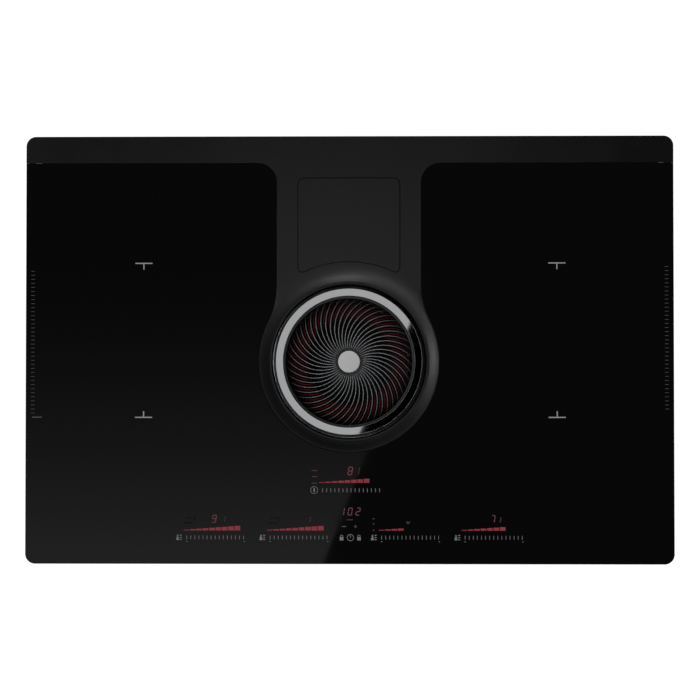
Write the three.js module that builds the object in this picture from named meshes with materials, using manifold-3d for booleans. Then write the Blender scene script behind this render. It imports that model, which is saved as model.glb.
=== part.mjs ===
// Downdraft induction cooktop, in millimetres.
// Frame: zero at the middle of the plate on the worktop's top face,
// +X to the right, +Y to the rear, +Z up.
import * as THREE from 'three';
import { mergeVertices } from 'three/addons/utils/BufferGeometryUtils.js';
import Module from 'manifold-3d';

const wasm = await Module();
wasm.setup();

// ---------------------------------------------------------------- driving dimensions

// The plate that lies on the worktop.
const plateWidth = 780;
const plateDepth = 515;
const plateCornerRadius = 12;
const glassThickness = 4;
const sealThickness = 1.5;
const sealWidth = 9;
const sealInset = 2;
const sealNap = 0.05;
const seatGap = 0.3;

// Centre insert: a band along the rear, a column and a collar round the vent.
const bandDepth = 32;
const columnWidth = 173.6;
const columnCornerRadius = 24;
const collarRadius = 108.6;
const collarBlendRadius = 96;
const insertJoint = 0.6;
const columnPadDepth = 4.5;
const outlineFlats = 8;

// Vent: where it stands, and the dish and socket round it.
const ventY = -14.4;
const socketRadius = 93.5;
const dishLipDepth = 8.5;
const dishRunOut = 11.4;
const socketDepth = 25.5;
const socketWall = 3;
const ledgeThickness = 2.5;
const ledgeWidth = 14.5;
const dishCurve = 2.2;
const dishShares = [0, 0.14, 0.36, 0.62, 1];
const socketInset = 2;

// Access lid over the odour filter cassette.
const lidWidth = 121.4;
const lidRearY = 206.6;
const lidFrontRadius = 121.4;
const lidRearCorner = 7;
const lidFrontCorner = 5;
const lidThickness = 3;
const lidGroove = 1.2;
const lidLedge = 5;

// Vent cartridge: ring, blades, hub cap and grease basket lift out together.
const ringOuterRadius = 87.6;
const ringLandInner = 80;
const ringHeight = 3.6;
const ringWall = 3.2;
const ringLipDepth = 4;
const ringRound = 2;
const bladeCount = 50;
const bladeThickness = 1.2;
const bladeHeight = 13;
const bladeSweepRadius = 48;
const bladeRootRadius = 17;
const bladeTipRadius = 75.4;
const grilleRimRadius = 79.6;
const bladeSteps = 4;
const bladePhase = 0.35;
const grilleSink = 2.6;
const hubRadius = 16.9;
const hubCapRadius = 13.5;
const hubCapThickness = 2.2;
const hubCapRound = 0.8;
const hubCrown = 2.4;
const hubCrownEdge = 0.5;
const baffleThickness = 1.6;
const baffleHeight = 7;
const baffleGap = 1.5;
const baffleInnerRadius = 42;
const baffleRimWidth = 3;
const baffleCore = 2;
const baffleSteps = 2;
const baffleShift = 0.5;
const basketRadius = 74;
const basketDepth = 78;
const basketWall = 1.2;
const basketFloor = 1.5;
const basketSlots = 12;
const basketSlotWidth = 9;
const basketSlotRise = 10;
const basketSlotDrop = 12;
const basketLip = 2;

// Odour filter cassette under the lid.
const cassetteWidth = 106;
const cassetteDepth = 84;
const cassetteWall = 2.5;
const cassetteClearance = 1.6;
const cassetteSetback = 1;
const cassettePost = 10;
const carbonThickness = 22;
const carbonPleats = 8;
const carbonPleatDepth = 3;
const wellWall = 1.5;

// Base tray: folded steel sheet in the worktop's cut-out.
const trayWidth = 744;
const trayDepth = 484;
const trayFloorZ = -56;
const sheetThickness = 1.2;
const trayFlange = 12;
const bossHeight = 5.5;
const bossRadius = 4;

// Induction coils, two on each side.
const coilX = 249;
const coilRearY = 104.2;
const coilFrontY = -81.4;
const coilWidth = 208;
const coilDepth = 172;
const coilCorner = 60;
const coilBand = 62;
const coilEyeCorner = 16;
const coilThickness = 5;
const coilDrop = 6;
const formerThickness = 3;
const formerMargin = 4;
const coilPlateWidth = 236;
const coilPlateDepth = 380;
const coilPlateThickness = 1.5;
const coilPlateFoot = 14;
const sensorRadius = 7;
const sensorFlange = 11;
const sensorFlangeThickness = 1.5;
const sensorStep = 2;

// Power electronics on the tray floor, one set on each side.
const boardWidth = 190;
const boardLength = 210;
const boardThickness = 1.6;
const boardY = -20;
const boardBossInset = 10;
const sinkWidth = 62;
const sinkLength = 150;
const sinkHeight = 26;
const sinkBase = 5;
const finCount = 9;
const finThickness = 1.6;
const fanSize = 90;
const fanCorner = 6;
const fanStruts = 3;
const fanStrutWidth = 5;
const fanStrutThickness = 3;
const fanSeat = 4;
const fanRoot = 3;
const fanHeight = 25;
const fanBore = 42;
const fanX = 249;
const fanY = 172;
const fanBlades = 7;
const fanHubRadius = 18;
const fanTipGap = 2.2;
const fanBladeChord = 18;
const fanBladeThickness = 1.6;
const fanBladePitch = 0.62;
const fanSlotCount = 5;
const fanSlotWidth = 5;
const fanSlotPitch = 13;
const fanSlotMargin = 5;

// Touch board behind the displays.
const touchWidth = 452;
const touchDepth = 48;
const touchY = -208;
const touchTabWidth = 120;
const touchTabDepth = 34;
const touchThickness = 1.6;
const touchDrop = 1.6;
const carrierWall = 1.5;
const carrierDepth = 12;
const carrierWindows = 3;
const carrierBar = 14;
const carrierRim = 10;
const carrierFoot = 10;
const exhaustSlots = 7;
const exhaustSlotLength = 36;
const exhaustSlotWidth = 5;
const exhaustPitch = 26;

// Air box under the tray, with its deck, drip tray and outlet.
const airWidth = 330;
const airFrontY = -125;
const airRearY = 236;
const airBottomZ = -212;
const airWall = 3;
const airStep = 4;
const airCorner = 14;
const airFlange = 10;
const deckZ = -118;
const deckThickness = 2.5;
const drainRadius = 20;
const throatWall = 3;
const throatFlange = 3;
const throatReach = 14;
const dripWidth = 150;
const dripLength = 132;
const dripHeight = 34;
const dripWall = 2;
const dripLip = 9;
const dripClearance = 1;
const spigotWidth = 216;
const spigotHeight = 83;
const spigotWall = 2;
const spigotLength = 15;
const spigotFlange = 12;
const spigotFlangeThickness = 2.5;
const spigotZ = -162;

// Blower standing on the air box's floor.
const blowerY = 142;
const wheelRadius = 62;
const wheelBladeDepth = 11;
const wheelBlades = 16;
const wheelHeight = 56;
const wheelDisc = 2.5;
const wheelRing = 2.5;
const wheelVane = 1.6;
const wheelVaneInset = 1.5;
const wheelRise = 6;
const wheelClearance = 4;
const scrollStart = 66;
const scrollEnd = 88;
const scrollWall = 2.5;
const scrollTongue = 0.32;
const scrollSteps = 20;
const inletRadius = 46;
const motorRadius = 33;
const motorHeight = 34;
const motorRound = 3;
const shaftSeat = 12;
const shaftEnd = 4;
const shaftRadius = 4;

// Worktop clamps, their screws, and the mains connection.
const clampX = 350;
const clampY = 196;
const clampLength = 36;
const clampWidth = 16;
const clampThickness = 3;
const clampBore = 3.2;
const screwRadius = 2.5;
const screwHeadRadius = 5;
const screwHeadHeight = 3;
const screwFlats = 6;
const coverX = -285;
const coverWidth = 96;
const coverDepth = 50;
const coverHeight = 30;
const coverRearY = 232;
const coverWall = 2;
const blockWidth = 62;
const blockDepth = 20;
const blockHeight = 18;
const blockWays = 5;
const blockGroove = 2;
const blockGrooveDepth = 5;
const blockSetback = 4;
const glandRadius = 11;
const glandBore = 5.5;
const glandLength = 18;
const glandCollar = 5;
const glandStep = 2;

// What each piece is made of, as its plain colour and shine.
const finish = {
  insertMoulding: { color: 0x202123, roughness: 0.55, metalness: 0.1 },
  glassCeramic: { color: 0x060607, roughness: 0.06, metalness: 0 },
  foamRubber: { color: 0x1a1a1a, roughness: 0.9, metalness: 0 },
  lidMoulding: { color: 0x222325, roughness: 0.55, metalness: 0.1 },
  carbonMat: { color: 0x17181a, roughness: 0.95, metalness: 0 },
  polishedSteel: { color: 0xc9cacc, roughness: 0.16, metalness: 1 },
  gunmetal: { color: 0x6b6d70, roughness: 0.35, metalness: 0.9 },
  redAnodised: { color: 0x6d1f24, roughness: 0.4, metalness: 0.7 },
  filterSteel: { color: 0xa7a9ac, roughness: 0.3, metalness: 1 },
  zincSheet: { color: 0x8d9094, roughness: 0.45, metalness: 0.8 },
  millAluminium: { color: 0xb4b7ba, roughness: 0.4, metalness: 0.9 },
  paleMoulding: { color: 0xd9d5c8, roughness: 0.7, metalness: 0 },
  lacqueredCopper: { color: 0xa8592c, roughness: 0.45, metalness: 0.6 },
  greenLaminate: { color: 0x2f5d3a, roughness: 0.55, metalness: 0 },
  ductPlastic: { color: 0x1d1e20, roughness: 0.6, metalness: 0 },
  platedSteel: { color: 0x9a9da0, roughness: 0.4, metalness: 0.8 },
};

// ---------------------------------------------------------------- worked-out levels

const plateTop = sealThickness + glassThickness;
const socketFloorZ = plateTop - socketDepth;
const socketUnderZ = socketFloorZ - ledgeThickness;
const ledgeRadius = socketRadius - ledgeWidth;
const padUnderZ = sealThickness - columnPadDepth;
const bandFrontY = plateDepth / 2 - bandDepth;
const trayInnerZ = trayFloorZ + sheetThickness;
const airTopZ = trayFloorZ - seatGap;
const deckTopZ = deckZ + deckThickness;
const lidUnderZ = plateTop - lidThickness;
const cassetteRearY = lidRearY - lidLedge - cassetteClearance - wellWall - cassetteSetback;
const cassetteY = cassetteRearY - cassetteDepth / 2;

// How many flats a turned face has, and how far a cut runs past the face that it opens.
const fine = 40;
const coarse = 28;
const small = 10;
const overrun = 1;

// ---------------------------------------------------------------- solids from three.js shapes

// One closed skin with shared corners, no slivers and its faces pointing out.
function closedSkin(source) {
  const bare = source.index ? source.toNonIndexed() : source.clone();
  for (const name of Object.keys(bare.attributes)) {
    if (name !== 'position') bare.deleteAttribute(name);
  }
  const merged = mergeVertices(bare, 1e-4);
  const place = merged.attributes.position.array;
  const index = merged.index.array;
  const kept = [];
  let volume = 0;
  const corner = (i) => new THREE.Vector3().fromArray(place, 3 * i);
  for (let i = 0; i < index.length; i += 3) {
    const [a, b, c] = [index[i], index[i + 1], index[i + 2]];
    if (a === b || b === c || c === a) continue;
    kept.push(a, b, c);
    volume += corner(a).dot(corner(b).cross(corner(c)));
  }
  if (volume < 0) kept.reverse();
  merged.setIndex(kept);
  return merged;
}

function solidOf(geometry) {
  const skin = closedSkin(geometry);
  const mesh = new wasm.Mesh({
    numProp: 3,
    vertProperties: new Float32Array(skin.attributes.position.array),
    triVerts: new Uint32Array(skin.index.array),
  });
  return new wasm.Manifold(mesh);
}

function geometryOf(solid) {
  const mesh = solid.getMesh();
  const geometry = new THREE.BufferGeometry();
  geometry.setAttribute('position', new THREE.BufferAttribute(new Float32Array(mesh.vertProperties), 3));
  geometry.setIndex([...mesh.triVerts]);
  const flat = geometry.toNonIndexed();
  flat.computeVertexNormals();
  return flat;
}

// A flat outline raised from one level to another.
function raised(shape, low, high, curveSegments = 6) {
  const depth = high - low;
  const geometry = new THREE.ExtrudeGeometry(shape, { depth, bevelEnabled: false, curveSegments });
  return geometry.translate(0, 0, low);
}

function block(x0, x1, y0, y1, z0, z1) {
  const geometry = new THREE.BoxGeometry(x1 - x0, y1 - y0, z1 - z0);
  return solidOf(geometry.translate((x0 + x1) / 2, (y0 + y1) / 2, (z0 + z1) / 2));
}

function slab(width, depth, z0, z1, x = 0, y = 0) {
  return block(x - width / 2, x + width / 2, y - depth / 2, y + depth / 2, z0, z1);
}

function roundedRect(width, depth, radius, x = 0, y = 0) {
  const shape = new THREE.Shape();
  const [w, d] = [width / 2 - radius, depth / 2 - radius];
  shape.absarc(x + w, y + d, radius, 0, Math.PI / 2);
  shape.absarc(x - w, y + d, radius, Math.PI / 2, Math.PI);
  shape.absarc(x - w, y - d, radius, Math.PI, 1.5 * Math.PI);
  shape.absarc(x + w, y - d, radius, 1.5 * Math.PI, 2 * Math.PI);
  shape.closePath();
  return shape;
}

function roundedSlab(width, depth, radius, z0, z1, x = 0, y = 0) {
  return solidOf(raised(roundedRect(width, depth, radius, x, y), z0, z1, 2));
}

// A profile of radius and height turned about the Z axis.
function turned(profile, segments = coarse, x = 0, y = 0) {
  const points = profile.map(([radius, z]) => new THREE.Vector2(radius, z));
  const onAxis = profile[0][0] === 0 && profile[profile.length - 1][0] === 0;
  if (!onAxis) points.push(points[0].clone());
  const geometry = new THREE.LatheGeometry(points, segments);
  return solidOf(geometry.rotateX(Math.PI / 2).translate(x, y, 0));
}

function rod(radius, z0, z1, x = 0, y = 0, segments = coarse) {
  return turned([[0, z0], [radius, z0], [radius, z1], [0, z1]], segments, x, y);
}

function tube(inner, outer, z0, z1, x = 0, y = 0, segments = coarse) {
  return turned([[inner, z0], [outer, z0], [outer, z1], [inner, z1]], segments, x, y);
}

// ---------------------------------------------------------------- assembly

const model = new THREE.Group();

function piece(name, solid, look, parent = model) {
  const mesh = new THREE.Mesh(geometryOf(solid), new THREE.MeshStandardMaterial(look));
  mesh.name = name;
  parent.add(mesh);
  return mesh;
}

const sides = [['left', -1], ['right', 1]];
const ends = [['front', -1], ['rear', 1]];

// ---------------------------------------------------------------- centre insert and glass

// Seen from above: the band's rear edge, the column with its concave corners, and the collar.
// grow widens the outline along the glass's notch.
function insertOutline(grow) {
  const half = plateWidth / 2;
  const rear = plateDepth / 2;
  const column = columnWidth / 2 + grow;
  const front = bandFrontY - grow;
  const corner = columnCornerRadius - grow;
  const blend = collarBlendRadius - grow;
  const collar = collarRadius + grow;
  const blendX = column + blend;
  const blendY = ventY + Math.sqrt((collar + blend) ** 2 - blendX ** 2);
  const meet = Math.atan2(blendY - ventY, blendX);
  const round = plateCornerRadius;
  const shape = new THREE.Shape();
  shape.absarc(half - round, rear - round, round, 0, Math.PI / 2);
  shape.absarc(round - half, rear - round, round, Math.PI / 2, Math.PI);
  shape.lineTo(-half, front);
  shape.absarc(-column - corner, front - corner, corner, Math.PI / 2, 0, true);
  shape.absarc(-blendX, blendY, blend, 0, -meet, true);
  shape.absarc(0, ventY, collar, Math.PI - meet, 2 * Math.PI + meet);
  shape.absarc(blendX, blendY, blend, Math.PI + meet, Math.PI, true);
  shape.absarc(column + corner, front - corner, corner, Math.PI, Math.PI / 2, true);
  shape.lineTo(half, front);
  shape.closePath();
  return shape;
}

// The lid's outline: straight sides and rear, its front an arc about the vent.
function lidOutline(grow) {
  const half = lidWidth / 2 + grow;
  const rear = lidRearY + grow;
  const rearRound = lidRearCorner + grow;
  const frontRound = lidFrontCorner + grow;
  const arc = lidFrontRadius - grow;
  const roundX = half - frontRound;
  const roundY = ventY + Math.sqrt((arc + frontRound) ** 2 - roundX ** 2);
  const meet = Math.atan2(roundY - ventY, roundX);
  const shape = new THREE.Shape();
  shape.absarc(half - rearRound, rear - rearRound, rearRound, 0, Math.PI / 2);
  shape.absarc(rearRound - half, rear - rearRound, rearRound, Math.PI / 2, Math.PI);
  shape.absarc(-roundX, roundY, frontRound, Math.PI, 2 * Math.PI - meet);
  shape.absarc(0, ventY, arc, Math.PI - meet, meet, true);
  shape.absarc(roundX, roundY, frontRound, Math.PI + meet, 2 * Math.PI);
  shape.closePath();
  return shape;
}

// The dish falls from the column towards the vent, its surface turned about the vent's axis.
const dishReach = collarRadius + dishRunOut;
function dishHeight(radius) {
  const share = (dishReach - radius) / (dishReach - socketRadius);
  return plateTop - dishLipDepth * Math.max(share, 0) ** dishCurve;
}

{
  const plate = solidOf(raised(insertOutline(0), sealThickness, plateTop, outlineFlats));
  const padFront = ventY + socketRadius;
  const padRear = lidRearY + lidLedge;
  const padHalf = lidWidth / 2 + lidLedge;
  const pad = block(-padHalf, padHalf, padFront - socketWall, padRear, padUnderZ, plateTop - overrun);
  const socket = turned([
    [ledgeRadius, socketUnderZ],
    [socketRadius + socketWall, socketUnderZ],
    [socketRadius + socketWall, padUnderZ - socketWall],
    [collarRadius - socketInset, sealThickness],
    [collarRadius - socketInset, plateTop - overrun],
    [socketRadius, plateTop - overrun],
    [socketRadius, socketFloorZ],
    [ledgeRadius, socketFloorZ],
  ], fine, 0, ventY);
  const slope = dishShares.map((share) => {
    const radius = socketRadius + share * (dishReach - socketRadius);
    return [radius, dishHeight(radius)];
  });
  const dish = turned([
    [0, socketFloorZ + overrun],
    [socketRadius - overrun, socketFloorZ + overrun],
    ...slope,
    [dishReach, plateTop + overrun],
    [0, plateTop + overrun],
  ], fine, 0, ventY);
  const mouth = rod(socketRadius, padUnderZ - overrun, plateTop + overrun, 0, ventY, fine);
  const recess = solidOf(raised(lidOutline(lidGroove), lidUnderZ - seatGap, plateTop + overrun));
  const opening = solidOf(raised(lidOutline(-lidLedge), padUnderZ - overrun, plateTop));
  const body = plate.add(pad).subtract(mouth).add(socket);
  const insert = body.subtract(dish).subtract(recess).subtract(opening);
  piece('centre_insert', insert, finish.insertMoulding);
}

{
  const plate = roundedSlab(plateWidth, plateDepth, plateCornerRadius, sealThickness, plateTop);
  const notch = solidOf(raised(insertOutline(insertJoint), 0, plateTop + overrun, outlineFlats));
  const behind = slab(plateWidth + 2 * overrun, 2 * bandDepth, 0, plateTop + overrun,
    0, bandFrontY - insertJoint + bandDepth);
  piece('glass_panel', plate.subtract(notch).subtract(behind), finish.glassCeramic);
}

{
  const outer = 2 * sealInset;
  const inner = 2 * (sealInset + sealWidth);
  const radius = plateCornerRadius - sealInset;
  const band = roundedSlab(plateWidth - outer, plateDepth - outer, radius, 0, sealThickness - sealNap);
  const window = slab(plateWidth - inner, plateDepth - inner, -overrun, sealThickness + overrun);
  piece('rim_seal', band.subtract(window), finish.foamRubber);
}

// ---------------------------------------------------------------- lid and odour filter cassette

{
  const lid = solidOf(raised(lidOutline(0), lidUnderZ, plateTop));
  piece('access_lid', lid, finish.lidMoulding);
}

const cassette = new THREE.Group();
cassette.position.set(0, cassetteY, 0);
model.add(cassette);
{
  const top = lidUnderZ - seatGap;
  const low = deckTopZ + seatGap;
  const high = airTopZ - wellWall;
  const innerWidth = cassetteWidth - 2 * cassetteWall;
  const innerDepth = cassetteDepth - 2 * cassetteWall;
  const frame = slab(cassetteWidth, cassetteDepth, low, top)
    .subtract(slab(innerWidth, innerDepth, low + cassetteWall, high))
    .subtract(slab(innerWidth, innerDepth, high + cassetteWall, top - cassetteWall))
    .subtract(slab(cassetteWidth + 2 * overrun, innerDepth - cassettePost, high + 2 * cassetteWall,
      top - 2 * cassetteWall))
    .subtract(slab(cassetteWidth + 2 * overrun, innerDepth - cassettePost, low + 2 * cassetteWall,
      high - cassetteWall))
    .subtract(slab(innerWidth - 2 * (carbonThickness + overrun), innerDepth, low - overrun,
      low + cassetteWall + overrun));
  piece('cassette_frame', frame, finish.ductPlastic, cassette);

  for (const [side, sign] of sides) {
    const shape = new THREE.Shape();
    const outerX = innerWidth / 2 - seatGap;
    const depth = innerDepth - 2 * seatGap;
    shape.moveTo(outerX - carbonThickness, depth / 2);
    shape.lineTo(outerX - carbonThickness, -depth / 2);
    for (let i = 0; i <= 2 * carbonPleats; i += 1) {
      const inward = i % 2 === 0 ? 0 : carbonPleatDepth;
      shape.lineTo(outerX - inward, -depth / 2 + (i * depth) / (2 * carbonPleats));
    }
    shape.closePath();
    const pleated = raised(shape, low + cassetteWall + seatGap, high - seatGap);
    if (sign < 0) pleated.rotateZ(Math.PI);
    piece(`odour_filter_${side}`, solidOf(pleated), finish.carbonMat, cassette);
  }

  const wellHalfX = cassetteWidth / 2 + cassetteClearance;
  const wellHalfY = cassetteDepth / 2 + cassetteClearance;
  const well = slab(2 * (wellHalfX + wellWall), 2 * (wellHalfY + wellWall), airTopZ, padUnderZ - seatGap)
    .subtract(slab(2 * wellHalfX, 2 * wellHalfY, airTopZ - overrun, padUnderZ + overrun));
  piece('cassette_well', well, finish.ductPlastic, cassette);
}

// ---------------------------------------------------------------- vent cartridge

const vent = new THREE.Group();
vent.position.set(0, ventY, 0);
model.add(vent);

const ringUnderZ = socketFloorZ + seatGap;
const ringTop = plateTop + ringHeight;
{
  const skirtOuter = ringLandInner + ringWall;
  const ring = turned([
    [ringLandInner, ringUnderZ],
    [skirtOuter, ringUnderZ],
    [skirtOuter, plateTop - ringLipDepth],
    [ringOuterRadius, plateTop - ringLipDepth],
    [ringOuterRadius, ringTop - ringRound],
    [ringOuterRadius - ringRound, ringTop],
    [ringLandInner + ringRound, ringTop],
    [ringLandInner, ringTop - ringRound],
  ], bladeCount);
  piece('trim_ring', ring, finish.polishedSteel, vent);
}

// How far the blade's arc has turned where it reaches a radius from the vent's axis.
function sweepAt(radius) {
  const reach = Math.hypot(bladeRootRadius, bladeSweepRadius);
  const rise = radius ** 2 - bladeRootRadius ** 2 - 2 * bladeSweepRadius ** 2;
  return Math.atan2(bladeSweepRadius, bladeRootRadius) + Math.asin(rise / (2 * bladeSweepRadius * reach));
}

// One edge of a blade in plan: an arc that leaves the hub radially and bends clockwise.
function bladeEdge(inner, outer, offset, steps, angle) {
  const first = sweepAt(inner);
  const last = sweepAt(outer);
  const points = [];
  for (let i = 0; i <= steps; i += 1) {
    const turn = first + ((last - first) * i) / steps;
    const radius = bladeSweepRadius + offset;
    const point = new THREE.Vector2(
      bladeRootRadius + radius * Math.sin(turn),
      radius * Math.cos(turn) - bladeSweepRadius,
    );
    points.push(point.rotateAround(new THREE.Vector2(), angle));
  }
  return points;
}

// A disc pierced by the gaps between its blades: what is left is the hub, the blades and the rim.
function bladedDisc(rimRadius, inner, outer, thickness, steps, phase) {
  const pitch = (2 * Math.PI) / bladeCount;
  const disc = new THREE.Shape();
  disc.absarc(0, 0, rimRadius, 0, 2 * Math.PI);
  for (let i = 0; i < bladeCount; i += 1) {
    const angle = (i + phase) * pitch;
    const near = bladeEdge(inner, outer, thickness / 2, steps, angle);
    const far = bladeEdge(inner, outer, -thickness / 2, steps, angle + pitch);
    disc.holes.push(new THREE.Path([...near, ...far.reverse()]));
  }
  return disc;
}

const grilleTop = ringTop - grilleSink;
{
  const low = grilleTop - bladeHeight;
  const disc = bladedDisc(grilleRimRadius, hubRadius, bladeTipRadius, bladeThickness,
    bladeSteps, bladePhase);
  const crown = turned([
    [hubCapRadius + seatGap, grilleTop - overrun],
    [hubRadius - hubCrownEdge, grilleTop - overrun],
    [hubRadius - hubCrownEdge, grilleTop + hubCrownEdge],
    [hubCapRadius + seatGap, grilleTop + hubCrown],
  ]);
  const grille = solidOf(raised(disc, low, grilleTop, bladeCount / 2)).add(crown);
  piece('turbine_grille', grille, finish.gunmetal, vent);

  const capLow = grilleTop + seatGap;
  const cap = turned([
    [0, capLow],
    [hubCapRadius, capLow],
    [hubCapRadius, capLow + hubCapThickness - hubCapRound],
    [hubCapRadius - hubCapRound, capLow + hubCapThickness],
    [0, capLow + hubCapThickness],
  ], fine);
  piece('hub_cap', cap, finish.polishedSteel, vent);
}

const cartridgeRadius = ringLandInner - seatGap;
const baffleTop = grilleTop - bladeHeight - baffleGap;
{
  const low = baffleTop - baffleHeight;
  const rimInside = cartridgeRadius - baffleRimWidth;
  const phase = bladePhase + baffleShift;
  const disc = bladedDisc(cartridgeRadius, baffleInnerRadius, rimInside, baffleThickness,
    baffleSteps, phase);
  const eye = new THREE.Path();
  eye.absarc(0, 0, baffleInnerRadius - baffleCore, 0, 2 * Math.PI, true);
  disc.holes.push(eye);
  const baffle = solidOf(raised(disc, low, baffleTop, bladeCount / 2));
  piece('baffle_ring', baffle, finish.redAnodised, vent);
}

{
  const top = baffleTop - baffleHeight - seatGap;
  const low = top - basketDepth;
  const floor = low + basketFloor;
  let basket = turned([
    [0, low],
    [basketRadius, low],
    [basketRadius, top - basketLip],
    [cartridgeRadius, top - basketLip],
    [cartridgeRadius, top],
    [basketRadius - basketWall, top],
    [basketRadius - basketWall, floor],
    [0, floor],
  ], basketSlots * 2);
  for (let i = 0; i < basketSlots; i += 1) {
    const slot = block(basketRadius - 4 * basketWall, basketRadius + overrun,
      -basketSlotWidth / 2, basketSlotWidth / 2, floor + basketSlotRise, top - basketSlotDrop);
    basket = basket.subtract(slot.rotate([0, 0, (i + 1 / 2) * (360 / basketSlots)]));
  }
  piece('grease_basket', basket, finish.filterSteel, vent);
}

{
  const inner = ledgeRadius;
  const outer = inner + throatWall;
  const top = socketUnderZ - seatGap;
  const throat = turned([
    [inner, airTopZ - throatReach],
    [outer, airTopZ - throatReach],
    [outer, top - throatFlange],
    [socketRadius + socketWall, top - throatFlange],
    [socketRadius + socketWall, top],
    [inner, top],
  ]);
  piece('suction_throat', throat, finish.ductPlastic, vent);
}

// ---------------------------------------------------------------- base tray

const trayInnerX = trayWidth / 2 - sheetThickness;
const trayInnerY = trayDepth / 2 - sheetThickness;
const trayTopZ = sealThickness - seatGap;
const boardX = coilX;
{
  let tray = slab(trayWidth, trayDepth, trayFloorZ, trayTopZ)
    .subtract(slab(2 * trayInnerX, 2 * trayInnerY, trayInnerZ, trayTopZ - sheetThickness))
    .subtract(slab(trayWidth - 2 * trayFlange, trayDepth - 2 * trayFlange, trayInnerZ + overrun,
      trayTopZ + overrun));
  const bossTopZ = trayInnerZ + bossHeight;
  const holeLow = trayFloorZ - overrun;
  const holeHigh = trayInnerZ + overrun;
  const throatHole = rod(ledgeRadius + throatWall + seatGap, holeLow, holeHigh, 0, ventY);
  const wellHole = slab(
    cassetteWidth + 2 * (cassetteClearance + wellWall + seatGap),
    cassetteDepth + 2 * (cassetteClearance + wellWall + seatGap),
    holeLow, holeHigh, 0, cassetteY,
  );
  tray = tray.subtract(throatHole).subtract(wellHole);
  for (const [, sign] of sides) {
    for (let i = 0; i < fanSlotCount; i += 1) {
      const offset = (i - (fanSlotCount - 1) / 2) * fanSlotPitch;
      const length = 2 * Math.sqrt((fanBore - fanSlotMargin) ** 2 - offset ** 2);
      tray = tray.subtract(slab(length, fanSlotWidth, holeLow, holeHigh, sign * fanX, fanY + offset));
    }
    for (let i = 0; i < exhaustSlots; i += 1) {
      const x = sign * (coilX + (i - (exhaustSlots - 1) / 2) * exhaustPitch);
      tray = tray.subtract(slab(exhaustSlotWidth, exhaustSlotLength, holeLow, holeHigh, x, touchY));
    }
    for (const [, end] of ends) {
      for (const across of [-1, 1]) {
        const x = sign * boardX + across * (boardWidth / 2 - boardBossInset);
        const y = boardY + end * (boardLength / 2 - boardBossInset);
        tray = tray.add(rod(bossRadius, trayFloorZ + sheetThickness / 2, bossTopZ, x, y, small));
      }
    }
  }
  piece('base_tray', tray, finish.zincSheet);
}

// ---------------------------------------------------------------- coils

const windingTop = sealThickness - coilDrop;
const windingLow = windingTop - coilThickness;
const formerTop = windingLow - seatGap;
const formerLow = formerTop - formerThickness;
const coilPlateTop = formerLow - seatGap;
const coilPlateLow = coilPlateTop - coilPlateThickness;
const coilMiddleY = (coilRearY + coilFrontY) / 2;
const coilRows = [['front', coilFrontY], ['rear', coilRearY]];

for (const [side, sign] of sides) {
  let plate = slab(coilPlateWidth, coilPlateDepth, coilPlateLow, coilPlateTop, sign * coilX, coilMiddleY);
  for (const across of [-1, 1]) {
    for (const along of [-1, 1]) {
      const x = sign * coilX + across * (coilPlateWidth - coilPlateFoot) / 2;
      const y = coilMiddleY + along * (coilPlateDepth - coilPlateFoot) / 2;
      plate = plate.add(slab(coilPlateFoot, coilPlateFoot, trayInnerZ + seatGap, coilPlateTop, x, y));
    }
  }
  piece(`coil_plate_${side}`, plate, finish.millAluminium);

  for (const [row, y] of coilRows) {
    const coil = new THREE.Group();
    coil.position.set(sign * coilX, y, 0);
    model.add(coil);
    const formerWidth = coilWidth + 2 * formerMargin;
    const formerDepth = coilDepth + 2 * formerMargin;
    const sensorHole = rod(sensorRadius + seatGap, formerLow - overrun, formerTop + overrun, 0, 0, small);
    const former = roundedSlab(formerWidth, formerDepth, coilCorner + formerMargin, formerLow, formerTop)
      .subtract(sensorHole);
    piece(`coil_former_${side}_${row}`, former, finish.paleMoulding, coil);

    const winding = roundedSlab(coilWidth, coilDepth, coilCorner, windingLow, windingTop)
      .subtract(roundedSlab(coilWidth - 2 * coilBand, coilDepth - 2 * coilBand, coilEyeCorner,
        windingLow - overrun, windingTop + overrun));
    piece(`coil_winding_${side}_${row}`, winding, finish.lacqueredCopper, coil);

    const sensor = turned([
      [0, coilPlateTop + seatGap],
      [sensorRadius, coilPlateTop + seatGap],
      [sensorRadius, formerTop + seatGap],
      [sensorFlange, formerTop + seatGap],
      [sensorFlange, formerTop + seatGap + sensorFlangeThickness],
      [sensorRadius - sensorStep, formerTop + seatGap + sensorFlangeThickness],
      [sensorRadius - sensorStep, sealThickness - seatGap],
      [0, sealThickness - seatGap],
    ], small);
    piece(`pan_sensor_${side}_${row}`, sensor, finish.paleMoulding, coil);
  }
}

// ---------------------------------------------------------------- power boards and cooling

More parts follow.
